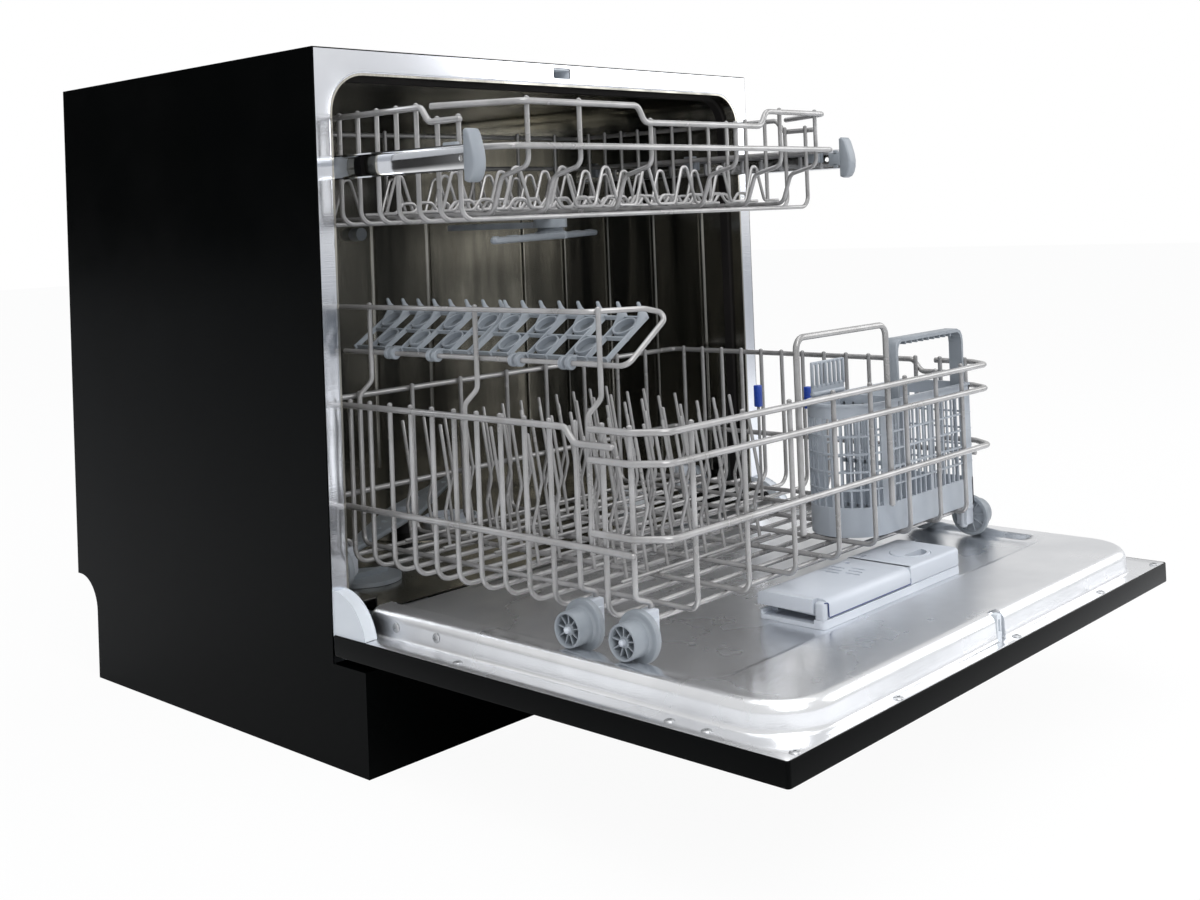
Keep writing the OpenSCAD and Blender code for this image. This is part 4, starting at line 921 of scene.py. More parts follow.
    def wheel(self, sketch: Sketch, y: float, side: int) -> None:
        """Adds one wheel with its spokes.

        Args:
            sketch: Sketch that takes the wheel.
            y: Place of the axle.
            side: 1 for the right, -1 for the left.
        """
        stand = Matrix.Diagonal((side, 1, 1, 1)) @ Matrix.Translation((self.hub_x, y, self.wheel_z))
        sketch.place = stand
        flange, hub, bore = self.flange_d / 2, self.hub_d / 2, self.axle_d / 2 + 0.08
        total = self.flange_w + self.hub_w
        inner_well = [(bore, 0.0), (bore + 2.8, 0.0), (bore + 3.2, 1.9), (flange - 4.2, 1.9),
                      (flange - 3.6, 0.0)]
        rim = [(flange - 1.2, 0.0), (flange - 0.3, 0.4), (flange, 1.3), (flange, self.flange_w - 1.6),
               (flange - 0.4, self.flange_w - 0.5), (flange - 1.4, self.flange_w),
               (hub + 2.6, self.flange_w - 0.3)]
        tread = [(hub + 1.0, self.flange_w + 0.3), (hub, self.flange_w + 1.4), (hub, total - 1.0),
                 (hub - 0.4, total - 0.2), (hub - 1.0, total), (hub - 1.7, total - 0.3),
                 (hub - 2.0, total - 1.0)]
        outer_well = [(hub - 2.3, self.flange_w - 3.2), (bore + 2.4, self.flange_w - 3.2),
                      (bore + 2.1, total - 3.0), (bore + 1.4, total - 2.2), (bore, total - 2.2), (bore, 0.0)]
        sketch.lathe(inner_well + rim + tread + outer_well, axis="X", sides=56)
        for i in range(self.spokes):
            sketch.place = stand @ Matrix.Rotation(2 * math.pi * i / self.spokes, 4, "X")
            sketch.block((1.5, -0.55, bore + 1.4), (total - 2.0, 0.55, hub - 1.4), 0.35, 1)
            sketch.block((0.2, -0.6, bore + 2.4), (2.1, 0.6, flange - 3.8), 0.2, 1)
        sketch.place = Matrix.Identity(4)

    def clip(self, clips: Sketch, axles: Sketch, y: float, side: int) -> None:
        """Adds the clip that holds a wheel, and the wheel's axle.

        Args:
            clips: Sketch that takes the clip.
            axles: Sketch that takes the axle.
            y: Place of the axle.
            side: 1 for the right, -1 for the left.
        """
        z, jog_x, jog_z = self.wheel_z, side * self.jog_x, self.jog_z
        low, high = sorted((side * (self.hub_x - 14), side * (self.hub_x - 1)))
        clips.block((low, y - 6, z - 7), (high, y + 6, jog_z - 4), 1.4)
        clips.wire([(jog_x, y, z - 8.5), (jog_x, y, jog_z - 7)], RIB_WIRE + 3.6, 0, 16)
        clips.block((low + 1.5, y - 7.2, z + 8), (high - 1.5, y + 7.2, z + 12), 0.8)
        start, stop = side * (self.hub_x - 1.5), side * (self.hub_x + self.flange_w + self.hub_w + 0.6)
        axles.wire([(start, y, z), (stop, y, z)], self.axle_d, 0, 20)

    def wheels(self) -> None:
        """Builds the three pairs of wheels and their axle clips."""
        clips, axles = Sketch(), Sketch()
        for number, (rib, word) in enumerate(zip(self.wheel_ribs, ("front", "middle", "rear")), 1):
            pair = Sketch()
            for side in (-1, 1):
                self.wheel(pair, self.rib_y(rib), side)
                self.clip(clips, axles, self.rib_y(rib), side)
            pair.build(f"{word}_spoked_wheels", BLUE_GREY, f"wheels_{word}", [f"wheels_{number}"])
        clips.build("wheel_axle_clips", LIGHT_GREY, "lower_rack", ["wheel_clips"])
        axles.build("wheel_axle_pins", LIGHT_GREY, "lower_rack", ["wheel_clips"])

    def build(self) -> None:
        """Builds the whole rack."""
        self.rims()
        self.ribs()
        self.runners()
        self.handle()
        self.tines()
        self.wheels()


# ---- upper rack ----


@dataclass
class UpperRack:
    """Wire rack that hangs on two drawn-out rails.

    Attributes:
        front_y: Place of the front rims.
        length: Depth of the rack.
        half_w: Half of the width.
        top_z: Height of the top rim.
        dip_z: Height of its lowered stretch at the front.
        mid_z: Height of the middle rim.
        floor_z: Height of the wires that cross the floor.
        pitch: Spacing of those wires.
        long_x: Places of the wires that run from front to rear.
        first_rib: Distance of the first wire that crosses the floor from the front rims.
        dip_x: Both ends of the top rim's lowered stretch.
        dip_slope: Width of the slope at each end of that stretch.
        side_turn: Distance from the front rims to where the side rim comes up to full height.
        side_dip: How much lower the side rim starts.
        peg: How far the upright wires stand above the rim.
        vee_rows: Distances of the rows of inverted-V tines from the front rims.
        wave_rows: Distances of the waved wires from the front rims.
        rail_z: Height of the rails' middle.
        rail_h: Height of a rail.
        rail_w: Width of a rail's flanges.
        rail_t: Sheet thickness of a rail.
        rail_l: Length of a rail.
        web: Distance of a rail's web from the middle.
    """

    front_y: float = -375.0
    length: float = 400.0
    half_w: float = 248.0
    top_z: float = 556.0
    dip_z: float = 541.0
    mid_z: float = 519.0
    floor_z: float = 460.0
    pitch: float = 27.4
    long_x: tuple[float, ...] = (-204, -143, -52, 71, 143, 204)
    first_rib: float = 46.0
    dip_x: tuple[float, float] = (-74.0, 114.0)
    dip_slope: float = 9.0
    side_turn: float = 88.0
    side_dip: float = 13.0
    peg: float = 4.0
    vee_rows: tuple[float, ...] = (60, 142, 224, 306)
    wave_rows: tuple[float, ...] = (88, 114, 170, 196)
    rail_z: float = 510.0
    rail_h: float = 21.0
    rail_w: float = 12.0
    rail_t: float = 1.2
    rail_l: float = 400.0
    web: float = field(init=False)

    def __post_init__(self) -> None:
        """Works out the place that follows from the sizes."""
        self.web = self.half_w + 8

    def rims(self) -> None:
        """Builds the rims, with the lowered stretch of the top one at the front."""
        sketch = Sketch()
        x, y, rear = self.half_w, self.front_y, self.front_y + self.length
        (left, right), slope = self.dip_x, self.dip_slope
        sketch.wire([(-x, y + 75, self.top_z), (-x + 36, y, self.top_z), (left, y, self.top_z),
                     (left + slope, y, self.dip_z), (right - slope, y, self.dip_z), (right, y, self.top_z),
                     (x - 36, y, self.top_z), (x, y + 75, self.top_z)], RIM_WIRE, 9, 14)
        sketch.wire([(-x + 60, rear, self.mid_z), (-x, rear, self.mid_z), (-x, y + 34, self.mid_z),
                     (-x + 24, y, self.mid_z), (x - 24, y, self.mid_z), (x, y + 34, self.mid_z),
                     (x, rear, self.mid_z), (-x + 61, rear, self.mid_z)], RIM_WIRE, 10, 14)
        rise, start, low = y + self.side_turn, y + self.side_turn - 50, self.top_z - self.side_dip
        sketch.wire([(-x, start, low), (-x, rise - 10, low), (-x, rise, self.top_z), (-x, rear, self.top_z),
                     (x, rear, self.top_z), (x, rise, self.top_z), (x, rise - 10, low), (x, start, low)],
                    RIM_WIRE, 8, 14)
        sketch.build("upper_rack_rim_wires", WIRE_COAT, "upper_rack", ["upper_rack_rims"])

    def ribs(self) -> None:
        """Builds the wires that cross the floor and those that run from front to rear."""
        sketch = Sketch()
        lead = (RIM_WIRE + RIB_WIRE) / 2 + WIRE_GAP
        side, y0, y1 = self.half_w - lead, self.front_y + lead, self.front_y + self.length - lead
        low = self.floor_z + RIB_WIRE + WIRE_GAP
        for number in range(13):
            y = self.front_y + self.first_rib + number * self.pitch
            top = (self.top_z if y > self.front_y + self.side_turn else self.top_z - self.side_dip) + self.peg
            sketch.wire([(-side, y, top), (-side, y, self.floor_z), (side, y, self.floor_z), (side, y, top)],
                        RIB_WIRE, 12, 12, SWELL)
        for x in self.long_x:
            low_front = self.dip_x[0] < x < self.dip_x[1] - self.dip_slope
            top = (self.dip_z if low_front else self.top_z) + self.peg
            sketch.wire([(x, y0, top), (x, y0, self.mid_z - 16), (x, y0 + 34, self.mid_z - 24),
                         (x, y0 + 46, low), (x, y1, low), (x, y1, self.top_z + self.peg)],
                        RIB_WIRE, 10, 12, SWELL)
        sketch.build("upper_rack_cross_wires", WIRE_COAT, "upper_rack", ["upper_rack_ribs"])

    def rows(self) -> None:
        """Builds the rows of inverted-V tines and the waved wires on the floor."""
        deck = self.floor_z + 1.5 * RIB_WIRE + TINE_WIRE / 2 + 2 * WIRE_GAP
        vees, waves = Sketch(), Sketch()
        vee = [(-16.0, 0.0), (0.0, 46.0), (16.0, 0.0)]
        wave = [(-14.0, 0.0), (-6.0, 9.0), (6.0, 9.0), (14.0, 0.0)]
        self.zigzag(vees, self.vee_rows, [56 * i for i in range(-3, 4)], vee, deck, 5)
        vees.build("upper_rack_vee_tines", WIRE_COAT, "upper_rack", ["upper_rack_tines"])
        self.zigzag(waves, self.wave_rows, [(i - 4.5) * 40 for i in range(10)], wave, deck, 7)
        waves.build("upper_rack_waved_wires", WIRE_COAT, "upper_rack", ["upper_rack_waves"])

    def zigzag(self, sketch: Sketch, rows: Sequence[float], places: Sequence[float],
               shape: Sequence[tuple[float, float]], deck: float, bend: float) -> None:
        """Adds rows of a wire that repeats one shape.

        Args:
            sketch: Sketch that takes the rows.
            rows: Distances of the rows from the front rims.
            places: Middles of the repeats along a row.
            shape: Side step and height of each corner of the shape.
            deck: Height of the wire between the repeats.
            bend: Radius of the bends.
        """
        end = self.long_x[-1] + 4
        for row in rows:
            y = self.front_y + row
            path = [(-end, y, deck)]
            for middle in places:
                path += [(middle + step, y, deck + rise) for step, rise in shape]
            sketch.wire(path + [(end, y, deck)], TINE_WIRE, bend, 10)

    def rails(self) -> None:
        """Builds the C-shaped rails, their end caps and the rack's clips."""
        y0 = self.front_y + 12
        y1 = y0 + self.rail_l
        web, lip = self.web, self.web + self.rail_w
        low, high = self.rail_z - self.rail_h / 2, self.rail_z + self.rail_h / 2
        t, r = self.rail_t, 2.2
        steel, caps = Sketch(), Sketch()
        for side in (-1, 1):
            inner = [(lip, low), (lip, low + t), (web + t + r, low + t), (web + t + 0.6, low + t + 0.6),
                     (web + t, low + t + r), (web + t, high - t - r), (web + t + 0.6, high - t - 0.6),
                     (web + t + r, high - t), (lip, high - t), (lip, high)]
            outer = [(web + r, high), (web + 0.6, high - 0.6), (web, high - r), (web, low + r),
                     (web + 0.6, low + 0.6), (web + r, low)]
            profile = [(side * x, z) for x, z in inner + outer]
            steel.loft([[(x, y, z) for x, z in profile] for y in (y0, y1)])
            self.cap(caps, side, y0)
        rails = steel.build("upper_rack_steel_rails", RAIL_STEEL, "upper_rack", ["upper_rails"])
        holes = Sketch()
        for side in (-1, 1):
            holes.lathe([(2.6, -4), (2.6, 8)], (side * web, y0 + 16, self.rail_z), "X", 24)
        cut(rails, [holes])
        caps.build("rail_end_caps", BLUE_GREY, "upper_rack", ["rail_fittings"])

    def cap(self, sketch: Sketch, side: int, y0: float) -> None:
        """Adds a rail's end cap and the clips along it.

        Args:
            sketch: Sketch that takes them.
            side: 1 for the right, -1 for the left.
            y0: Front end of the rail.
        """
        z, web = self.rail_z, self.web
        face = [(y0, z - 19), (y0 - 4, z - 20.5), (y0 - 8, z - 19), (y0 - 11, z - 15), (y0 - 13, z - 9),
                (y0 - 13.4, z - 2), (y0 - 12.4, z + 5), (y0 - 10, z + 13), (y0 - 8, z + 19),
                (y0 - 5.5, z + 22.4), (y0 - 2.5, z + 23), (y0, z + 21.5)]
        x0, x1 = sorted((side * (web - 1), side * (web + self.rail_w + 1)))
        sketch.plate(list(reversed(face)), x0, x1, 2.2, "X", 3)
        a, b = sorted((side * (web - 1.4), side * (web + 0.3)))
        sketch.block((a, y0 - 1, z - 7), (b, y0 + 13, z + 7), 0.6)
        sketch.block((a, y0 + 2, z + 5), (b, y0 + 7, z + 9.5), 0.6)
        sketch.block((a, y0 + 2, z - 9.5), (b, y0 + 7, z - 5), 0.6)
        c, d = sorted((side * (self.half_w + RIM_WIRE / 2 + 0.1), side * web))
        for y in (y0 + 24, y0 + self.rail_l / 2, y0 + self.rail_l - 40):
            sketch.block((c, y, self.mid_z - 12), (d, y + 16, self.mid_z + 5), 0.8)

    def build(self) -> None:
        """Builds the whole rack."""
        self.rims()
        self.ribs()
        self.rows()
        self.rails()


# ---- fittings of the lower rack ----


@dataclass
class CupShelves:
    """Two tilting plastic shelves on a wire frame above the left side of the lower rack.

    Attributes:
        hinge_x: Place of the wire that the shelves turn on.
        hinge_z: Height of that wire.
        guard_x: Place of the guard wire above the rim.
        guard_z: Height of the guard wire.
        front_y: Front end of the frame.
        deep: Width of a shelf across its hinge.
        length: Length of a shelf.
        tilt: Slope of the shelves, in degrees.
        cells: Number of openings along a shelf.
        lead: Distance of the first shelf from the frame's front end.
        gap: Distance between the shelves.
    """

    hinge_x: float = -231.08
    hinge_z: float = 345.0
    guard_x: float = -240.0
    guard_z: float = 386.0
    front_y: float = -492.0
    deep: float = 62.0
    length: float = 158.0
    tilt: float = 33.0
    cells: int = 7
    lead: float = 18.0
    gap: float = 4.0

    def wires(self, rack: LowerRack) -> None:
        """Builds the wire frame.

        Args:
            rack: Rack that carries it.
        """
        sketch = Sketch()
        slope = math.radians(self.tilt)
        in_x = self.hinge_x + self.deep * math.cos(slope) - 4
        in_z = self.hinge_z + self.deep * math.sin(slope) + 2
        rear, y = self.front_y + 2 * self.length + 31, self.front_y
        sketch.wire([(self.hinge_x, rear, self.hinge_z), (self.hinge_x, y - 6, self.hinge_z),
                     (in_x, y - 8, in_z), (in_x - 18, y + 2, self.guard_z),
                     (self.guard_x, y + 26, self.guard_z), (self.guard_x, rear, self.guard_z)],
                    RIB_WIRE, 8, 14)
        post_x, kink = self.guard_x + RIB_WIRE + WIRE_GAP, rack.top_z + 15
        for number in (0, 5, 10):
            post_y = rack.rib_y(number) + rack.rib_pitch / 2
            sketch.wire([(post_x, post_y - 6, self.guard_z + 3), (post_x, post_y - 6, kink + 6),
                         (-rack.rib_x, post_y, kink - 6), (-rack.rib_x, post_y, rack.side_z - 6)],
                        RIB_WIRE, 9, 14)
        sketch.build("cup_shelf_wire_frame", WIRE_COAT, "lower_rack", ["cup_shelf_frame"])

    def grid(self, name: str, y: float, body: str, node: str) -> None:
        """Builds one shelf.

        Args:
            name: Name of the piece.
            y: Place of its front end.
            body: Body that it rides on.
            node: Node that it stands for.
        """
        sketch = Sketch()
        sketch.place = (Matrix.Translation((self.hinge_x, y, self.hinge_z))
                        @ Matrix.Rotation(math.radians(-self.tilt), 4, "Y"))
        low, high, bar, deep = -2.6, 2.6, 1.7, self.deep
        pitch = (self.length - bar) / self.cells
        for x in (6.5, 32.0, deep - 4):
            sketch.block((x, 0, low), (x + bar, self.length, high - 1.4), 0.5)
        hook = [(4.5, low + 1.0), (deep, low), (deep + 0.4, 2.0), (deep - 1.6, 9.0), (deep - 1.4, 14.2),
                (deep - 2.6, 15.4), (deep - 4.0, 14.6), (deep - 5.4, 9.5), (deep - 10.0, 5.4),
                (deep - 17.0, high), (4.5, high)]
        for i in range(self.cells + 1):
            sketch.plate(hook, i * pitch, i * pitch + bar, 0.45, "Y", 2)
        r = pitch * 0.47
        ring = [(r, low), (r, high - 0.4), (r - 0.4, high), (r - 1.2, high), (r - 1.6, high - 0.4),
                (r - 1.6, low), (r, low)]
        for i in range(self.cells):
            x = 20.5 if i % 2 else 45.5
            sketch.lathe(ring, (x, (i + 0.5) * pitch + bar / 2, 0), "Z", 28)
        inner, outer = RIB_WIRE / 2 + 0.08, RIB_WIRE / 2 + 3.0
        sleeve = [(inner, 0.0), (outer - 0.4, 0.0), (outer, 0.5), (outer, 3.9), (outer - 0.4, 4.4),
                  (inner, 4.4), (inner, 0.0)]
        for start in (34.0, self.length - 66):
            for lift in (0.0, 7.6):
                sketch.lathe(sleeve, (0, start + lift, 0), "Y", 28)
            sketch.block((RIB_WIRE / 2, start + 0.4, -1.6), (9.0, start + 11.6, 1.6), 0.6)
        sketch.build(name, BLUE_GREY, body, [node])

    def build(self, rack: LowerRack) -> None:
        """Builds the frame and both shelves.

        Args:
            rack: Rack that carries them.
        """
        self.wires(rack)
        front = self.front_y + self.lead
        self.grid("cup_shelf_front_grid", front, "front_shelf", "cup_shelf_front")
        self.grid("cup_shelf_rear_grid", front + self.gap + self.length, "rear_shelf", "cup_shelf_rear")


@dataclass
class CutleryBasket:
    """Latticed basket with one round end, an arched handle and an open slotted lid.

    Attributes:
        x: Left end.
        y: Front side.
        z: Underside.
        width: Length along the rack's front.
        depth: Width across.
        height: Height of the walls.
        wall: Thickness of the walls.
        divide: Place of the divider, as a share of the width.
        band: Height of the solid band above the underside.
        head: Height of the solid band under the rim.
        lattice: Aimed spacing of the upright bars.
        handle_h: Height of the handle above the rim.
        handle_w: Length of the handle.
        lid_y: Place of the lid's hinge.
        lid_z: Height of that hinge.
        lid_h: Height of the open lid.
    """

    x: float = 35.69
    y: float = -525.49
    z: float = 163.96
    width: float = 190.0
    depth: float = 76.0
    height: float = 118.0
    wall: float = 2.0
    divide: float = 0.4
    band: float = 26.0
    head: float = 13.0
    lattice: float = 8.6
    handle_h: float = 54.0
    handle_w: float = 118.0
    lid_y: float = -451.99
    lid_z: float = 284.96
    lid_h: float = 30.0

    def lengths(self) -> tuple[float, float]:
        """Length of a long wall and of the round end, along the outline."""
        r = self.depth / 2
        return self.width - r, math.pi * r

    def divider_x(self) -> float:
        """Place of the divider."""
        return self.x + self.width * self.divide

    def track(self, u: float, out: float) -> tuple[float, float]:
        """Point on the basket's outline.

        Args:
            u: Distance along the outline from the right end of the front wall, clockwise seen from above.
            out: Distance outside the outline.

        Returns:
            The point.
        """
        r = self.depth / 2
        straight, bow = self.lengths()
        cx, cy = self.x + r, self.y + r
        if u <= straight:
            return self.x + self.width - u, self.y - out
        if u <= straight + bow:
            a = math.radians(270) - (u - straight) / r
            return cx + (r + out) * math.cos(a), cy + (r + out) * math.sin(a)
        if u <= 2 * straight + bow:
            return cx + (u - straight - bow), self.y + self.depth + out
        return self.x + self.width + out, self.y + self.depth - (u - 2 * straight - bow)

    def strip(self, sketch: Sketch, u0: float, u1: float, z0: float, z1: float, out: float = 0.0,
              deep: float = 0.0) -> None:
        """Adds a stretch of wall that follows the outline.

        Args:
            sketch: Sketch that takes the wall.
            u0: Start along the outline.
            u1: End along the outline.
            z0: Lower edge above the underside.
            z1: Upper edge above the underside.
            out: How far it stands proud.
            deep: Extra thickness inwards.
        """
        straight, bow = self.lengths()
        corner = 2 * straight + bow
        marks = {u0, u1} | {m for m in (straight, straight + bow, corner) if u0 < m < u1}
        marks |= {straight + bow * k / 24 for k in range(1, 24) if u0 < straight + bow * k / 24 < u1}
        rings = []
        for u in sorted(marks):
            nudge = 1e-6 if u == corner and u1 > u else 0.0
            rings.append([(*self.track(u + nudge, o), self.z + h) for o, h in
                          ((out, z0), (out, z1), (-self.wall - deep, z1), (-self.wall - deep, z0))])
        sketch.loft(rings)

    def walls(self) -> None:
        """Builds the solid bands, the lattice, the floor and the divider."""
        sketch = Sketch()
        straight, bow = self.lengths()
        self.bands(sketch)
        self.bars(sketch)
        outline = [self.track(straight + bow * k / 24, -0.4) for k in range(25)]
        right = self.x + self.width - 0.4
        outline += [(right, self.y + self.depth - 0.4), (right, self.y + 0.4)]
        sketch.plate(list(reversed(outline)), self.z, self.z + self.wall, 0.0)
        self.divider(sketch)
        sketch.build("cutlery_basket_lattice", BASKET_GREY_PAINTED_LIGHT, "cutlery_basket", ["cutlery_basket"])

    def bands(self, sketch: Sketch) -> None:
        """Adds the lower band, the upper band, the rim and the level bars.

        Args:
            sketch: Sketch that takes them.
        """
        h = self.height
        straight, bow = self.lengths()
        side = 2 * straight + bow
        middle = straight + bow / 2
        for u0, u1 in ((0.0, middle), (middle, side), (side, side + self.depth)):
            self.strip(sketch, u0, u1, 0.0, self.band)
            self.strip(sketch, u0, u1, h - self.head, h, 0.0)
            self.strip(sketch, u0, u1, h - 2.4, h + 0.06, 1.2, 0.06)
            for k in range(1, 5):
                z = self.band + k * (h - self.band - self.head) / 5
                self.strip(sketch, u0, u1, z - 0.8, z + 0.8, 0.3, 0.05)

    def bars(self, sketch: Sketch) -> None:
        """Adds the upright bars and the solid stretches between them.

        Args:
            sketch: Sketch that takes them.
        """
        straight, bow = self.lengths()
        side = 2 * straight + bow
        total = side + self.depth
        solid = ((0.0, 12.0), (72.0, 77.0), (straight - 14.0, straight + 6.0),
                 (straight + bow - 6, straight + bow + 14), (side - 77.0, side - 72.0), (side - 12.0, side),
                 (side + 0.001, side + 8.0), (total - 8.0, total))
        for u0, u1 in solid:
            self.strip(sketch, u0, u1, self.band - 1, self.height - self.head + 1, -0.05, -0.05)
        count = int(total / self.lattice)
        for i in range(1, count):
            u = i * total / count
            if any(u0 - 1.5 < u < u1 + 1.5 for u0, u1 in solid):
                continue
            self.strip(sketch, u - 0.9, u + 0.9, self.band - 2, self.height - self.head + 2, -0.08, -0.08)

    def divider(self, sketch: Sketch) -> None:
        """Adds the divider with its upright slots.

        Args:
            sketch: Sketch that takes it.
        """
        x, h = self.divider_x(), self.height
        for k in range(7):
            y = self.y + 5 + k * 10.5
            sketch.block((x, y, self.z + 10), (x + self.wall, y + 3.0, self.z + h - 8), 0.4)
        for z0, z1 in ((0.5, 14.0), (52.0, 56.0), (h - 12, h - 1)):
            sketch.block((x, self.y + 1, self.z + z0),
                         (x + self.wall, self.y + self.depth - 1, self.z + z1), 0.4)

    def handle(self) -> None:
        """Builds the arched handle with its ribbed underside."""
        sketch = Sketch()
        x0 = self.divider_x() - 14
        x1, z0, z1 = x0 + self.handle_w, self.z + self.height - 10, self.z + self.height + self.handle_h
        outer = [(x0, z0), (x0 - 1.6, z1 - 14), (x0 - 0.6, z1 - 7), (x0 + 2.6, z1 - 2.2), (x0 + 8, z1),
                 (x1 - 8, z1), (x1 - 2.6, z1 - 2.2), (x1 + 0.6, z1 - 7), (x1 + 1.6, z1 - 14), (x1, z0)]
        inner = [(x0 + 3, z0), (x0 + 2.2, z1 - 14), (x0 + 3.0, z1 - 9), (x0 + 5, z1 - 5.4),
                 (x0 + 9, z1 - 3.4), (x1 - 9, z1 - 3.4), (x1 - 5, z1 - 5.4), (x1 - 3.0, z1 - 9),
                 (x1 - 2.2, z1 - 14), (x1 - 3, z0)]
        y0, y1 = self.y - 0.6, self.y + 13.4
        rings = []
        for (ox, oz), (ix, iz) in zip(outer, inner):
            edge_x, edge_z = 0.85 * ox + 0.15 * ix, 0.85 * oz + 0.15 * iz
            rings.append([(ox, y0 + 0.8, oz), (ox, y1 - 0.8, oz), (edge_x, y1, edge_z),
                          (ix, y1, iz), (ix, y0, iz), (edge_x, y0, edge_z)])
        sketch.loft(rings)
        for k in range(9):
            x = x0 + 16 + k * 10
            sketch.block((x, y0 + 0.4, z1 - 6.4), (x + 1.6, y1 - 0.4, z1 - 3.0), 0.4)
        sketch.build("cutlery_basket_handle", BLUE_GREY, "cutlery_basket", ["cutlery_basket"])

    def lid(self) -> None:
        """Builds the slotted lid that stands open."""
        sketch = Sketch()
        x0, x1, high = self.x + 30, self.divider_x() + 6, self.lid_h
        y, z = self.lid_y, self.lid_z
        sketch.wire([(x0 + 1, y, z), (x1 - 1, y, z)], 5.0, 0, 18)
        sketch.block((x0, y - 1, z + 0.5), (x1, y + 1, z + 8), 0.5)
        sketch.block((x0, y - 1, z + high - 3), (x1, y + 1, z + high), 0.8)
        for i in range(8):
            x = x0 + i * (x1 - x0 - 2.4) / 7
            sketch.block((x, y - 2.2, z + 6), (x + 2.4, y + 1, z + high - 0.5), 0.6)
        sketch.build("cutlery_lid_grille", BASKET_GREY_PAINTED_LIGHT, "cutlery_lid", ["cutlery_lid"])

    def build(self) -> None:
        """Builds the whole basket."""
        self.walls()
        self.handle()
        self.lid()


# ---- tub and cabinet ----


@dataclass
class Tub:
    """Front frame of the tub, its small fittings and the spray arms.

    Attributes:
        open_w: Half of the opening's width.
        open_z: Top of the opening.
        frame_x: Half of the frame's width.
        frame_z: Top of the frame.
        leg_z: Lower end of the frame's legs.
        corner_r: Radius of the opening's corners.
        latch_x: Half of the latch slot's width.
        latch_z: Lower and upper edge of the latch slot.
        lip: Radius of the rolled inner lip.
        cover_r: Radius of the hinge covers.
        cover_z: Height of the covers' centre.
    """

    open_w: float = 279.0
    open_z: float = 591.0
    frame_x: float = 296.3
    frame_z: float = 612.8
    leg_z: float = 145.4
    corner_r: float = 34.0
    latch_x: float = 12.0
    latch_z: tuple[float, float] = (599.0, 610.0)
    lip: float = 3.2
    cover_r: float = 44.0
    cover_z: float = HINGE_Z - 16

    def arch(self, grow: float, y: float) -> list[Point]:
        """One line of the frame, up the left leg, over the top and down the right leg.

        Args:
            grow: Distance outside the opening.
            y: Depth.

        Returns:
            The line's points.
        """
        x, z, r = self.open_w + grow, self.open_z + grow, self.corner_r + grow
        line: list[Point] = [(-x, y, self.leg_z)]
        for start, cx in ((180, -x + r), (90, x - r)):
            for i in range(13):
                a = math.radians(start - 90 * i / 12)
                line.append((cx + r * math.cos(a), y, z - r + r * math.sin(a)))
        line.append((x, y, self.leg_z))
        return line

    def frame(self) -> None:
        """Builds the bright front frame with its rolled inner lip and latch slot."""
        sketch = Sketch()
        front, lip = FRONT_Y - 0.4, self.lip
        outer = []
        for x, y, z in self.arch(0.0, front):
            square_x = math.copysign(self.frame_x, x) if abs(x) > self.open_w - self.corner_r else x
            over = z > self.open_z - self.corner_r and abs(x) < self.open_w - 8
            outer.append((square_x, y, self.frame_z if over else min(z, self.frame_z)))
        rings = [outer, self.arch(lip + 0.4, front)]
        for turn in (15, 30, 45, 60, 75, 90):
            a = math.radians(turn)
            rings.append(self.arch(lip + 0.4 - lip * math.sin(a), front + lip * (1 - math.cos(a))))
        rings.append(self.arch(0.4, FRONT_Y + 9))
        sketch.loft(rings, closed=False, cap_start=False, cap_end=False)
        piece = sketch.build("tub_front_frame", FRAME_STEEL, "cabinet")
        sheet = piece.modifiers.new("sheet", "SOLIDIFY")
        sheet.thickness = 0.3 * MM
        slot = Sketch()
        slot.plate(round_rect(-self.latch_x, self.latch_x, *self.latch_z, [2.2] * 4, 4), FRONT_Y - 6,
                   FRONT_Y + 4, axis="Y")
        cut(piece, [slot])
        sharpen(piece)

    def covers(self) -> None:
        """Builds the quarter-round hinge covers."""
        sketch = Sketch()
        low = HINGE_Z - 8 + 0.3
        shape = [(FRONT_Y, low)]
        for i in range(13):
            a = math.radians(90 * i / 12)
            z = self.cover_z + self.cover_r * math.cos(a)
            shape.append((FRONT_Y - self.cover_r * math.sin(a), max(z, low)))
        shape = [p for i, p in enumerate(shape) if i == 0 or p != shape[i - 1]]
        for side in (-1, 1):
            x0, x1 = sorted((side * (self.frame_x - 12), side * self.frame_x))
            sketch.plate(list(reversed(shape)), x0, x1, 1.6, "X", 3)
        sketch.build("hinge_cover_shells", WHITE, "cabinet", ["hinge_covers"])

    def arm(self, name: str, centre: Point, length: float, turn: float, width: float, body: str,
            node: str) -> None:
        """Builds a spray arm with its hub and jets.

        Args:
            name: Name of the piece.
            centre: Middle of the blade's underside.
            length: Tip to tip.
            turn: Angle of the blade, in degrees.
            width: Width at the hub.
            body: Body that it rides on.
            node: Node that it stands for.
        """
        sketch = Sketch()
        sketch.place = Matrix.Translation(centre) @ Matrix.Rotation(math.radians(turn), 4, "Z")
        half, shape = length / 2, []
        for a in turns(40):
            x = half * math.copysign(abs(math.cos(a)) ** 0.6, math.cos(a))
            waist = 0.42 + 0.58 * (1 - abs(x) / half) ** 1.3
            shape.append((x, width / 2 * waist * math.copysign(abs(math.sin(a)) ** 0.5, math.sin(a))))
        sketch.plate(shape, 0.4, 6.4, 2.4, steps=4)
        jet = [(3.4, 6.0), (3.2, 6.9), (2.2, 7.2), (1.5, 6.6), (1.5, 5.8)]
        for i in range(1, 7):
            for side in (-1, 1):
                sketch.lathe(jet, (side * (half - 14) * i / 6, 2.0 * (-1) ** i, 0), "Z", 20)
        hub = [(13.0, 0.2), (17.0, 0.6), (17.4, 3.0), (16.4, 7.4), (13.4, 8.8), (13.0, 11.6), (6.0, 11.8)]
        sketch.lathe(hub, (0, 0, 0), "Z", 48)
        sketch.build(name, BLUE_GREY, body, [node])

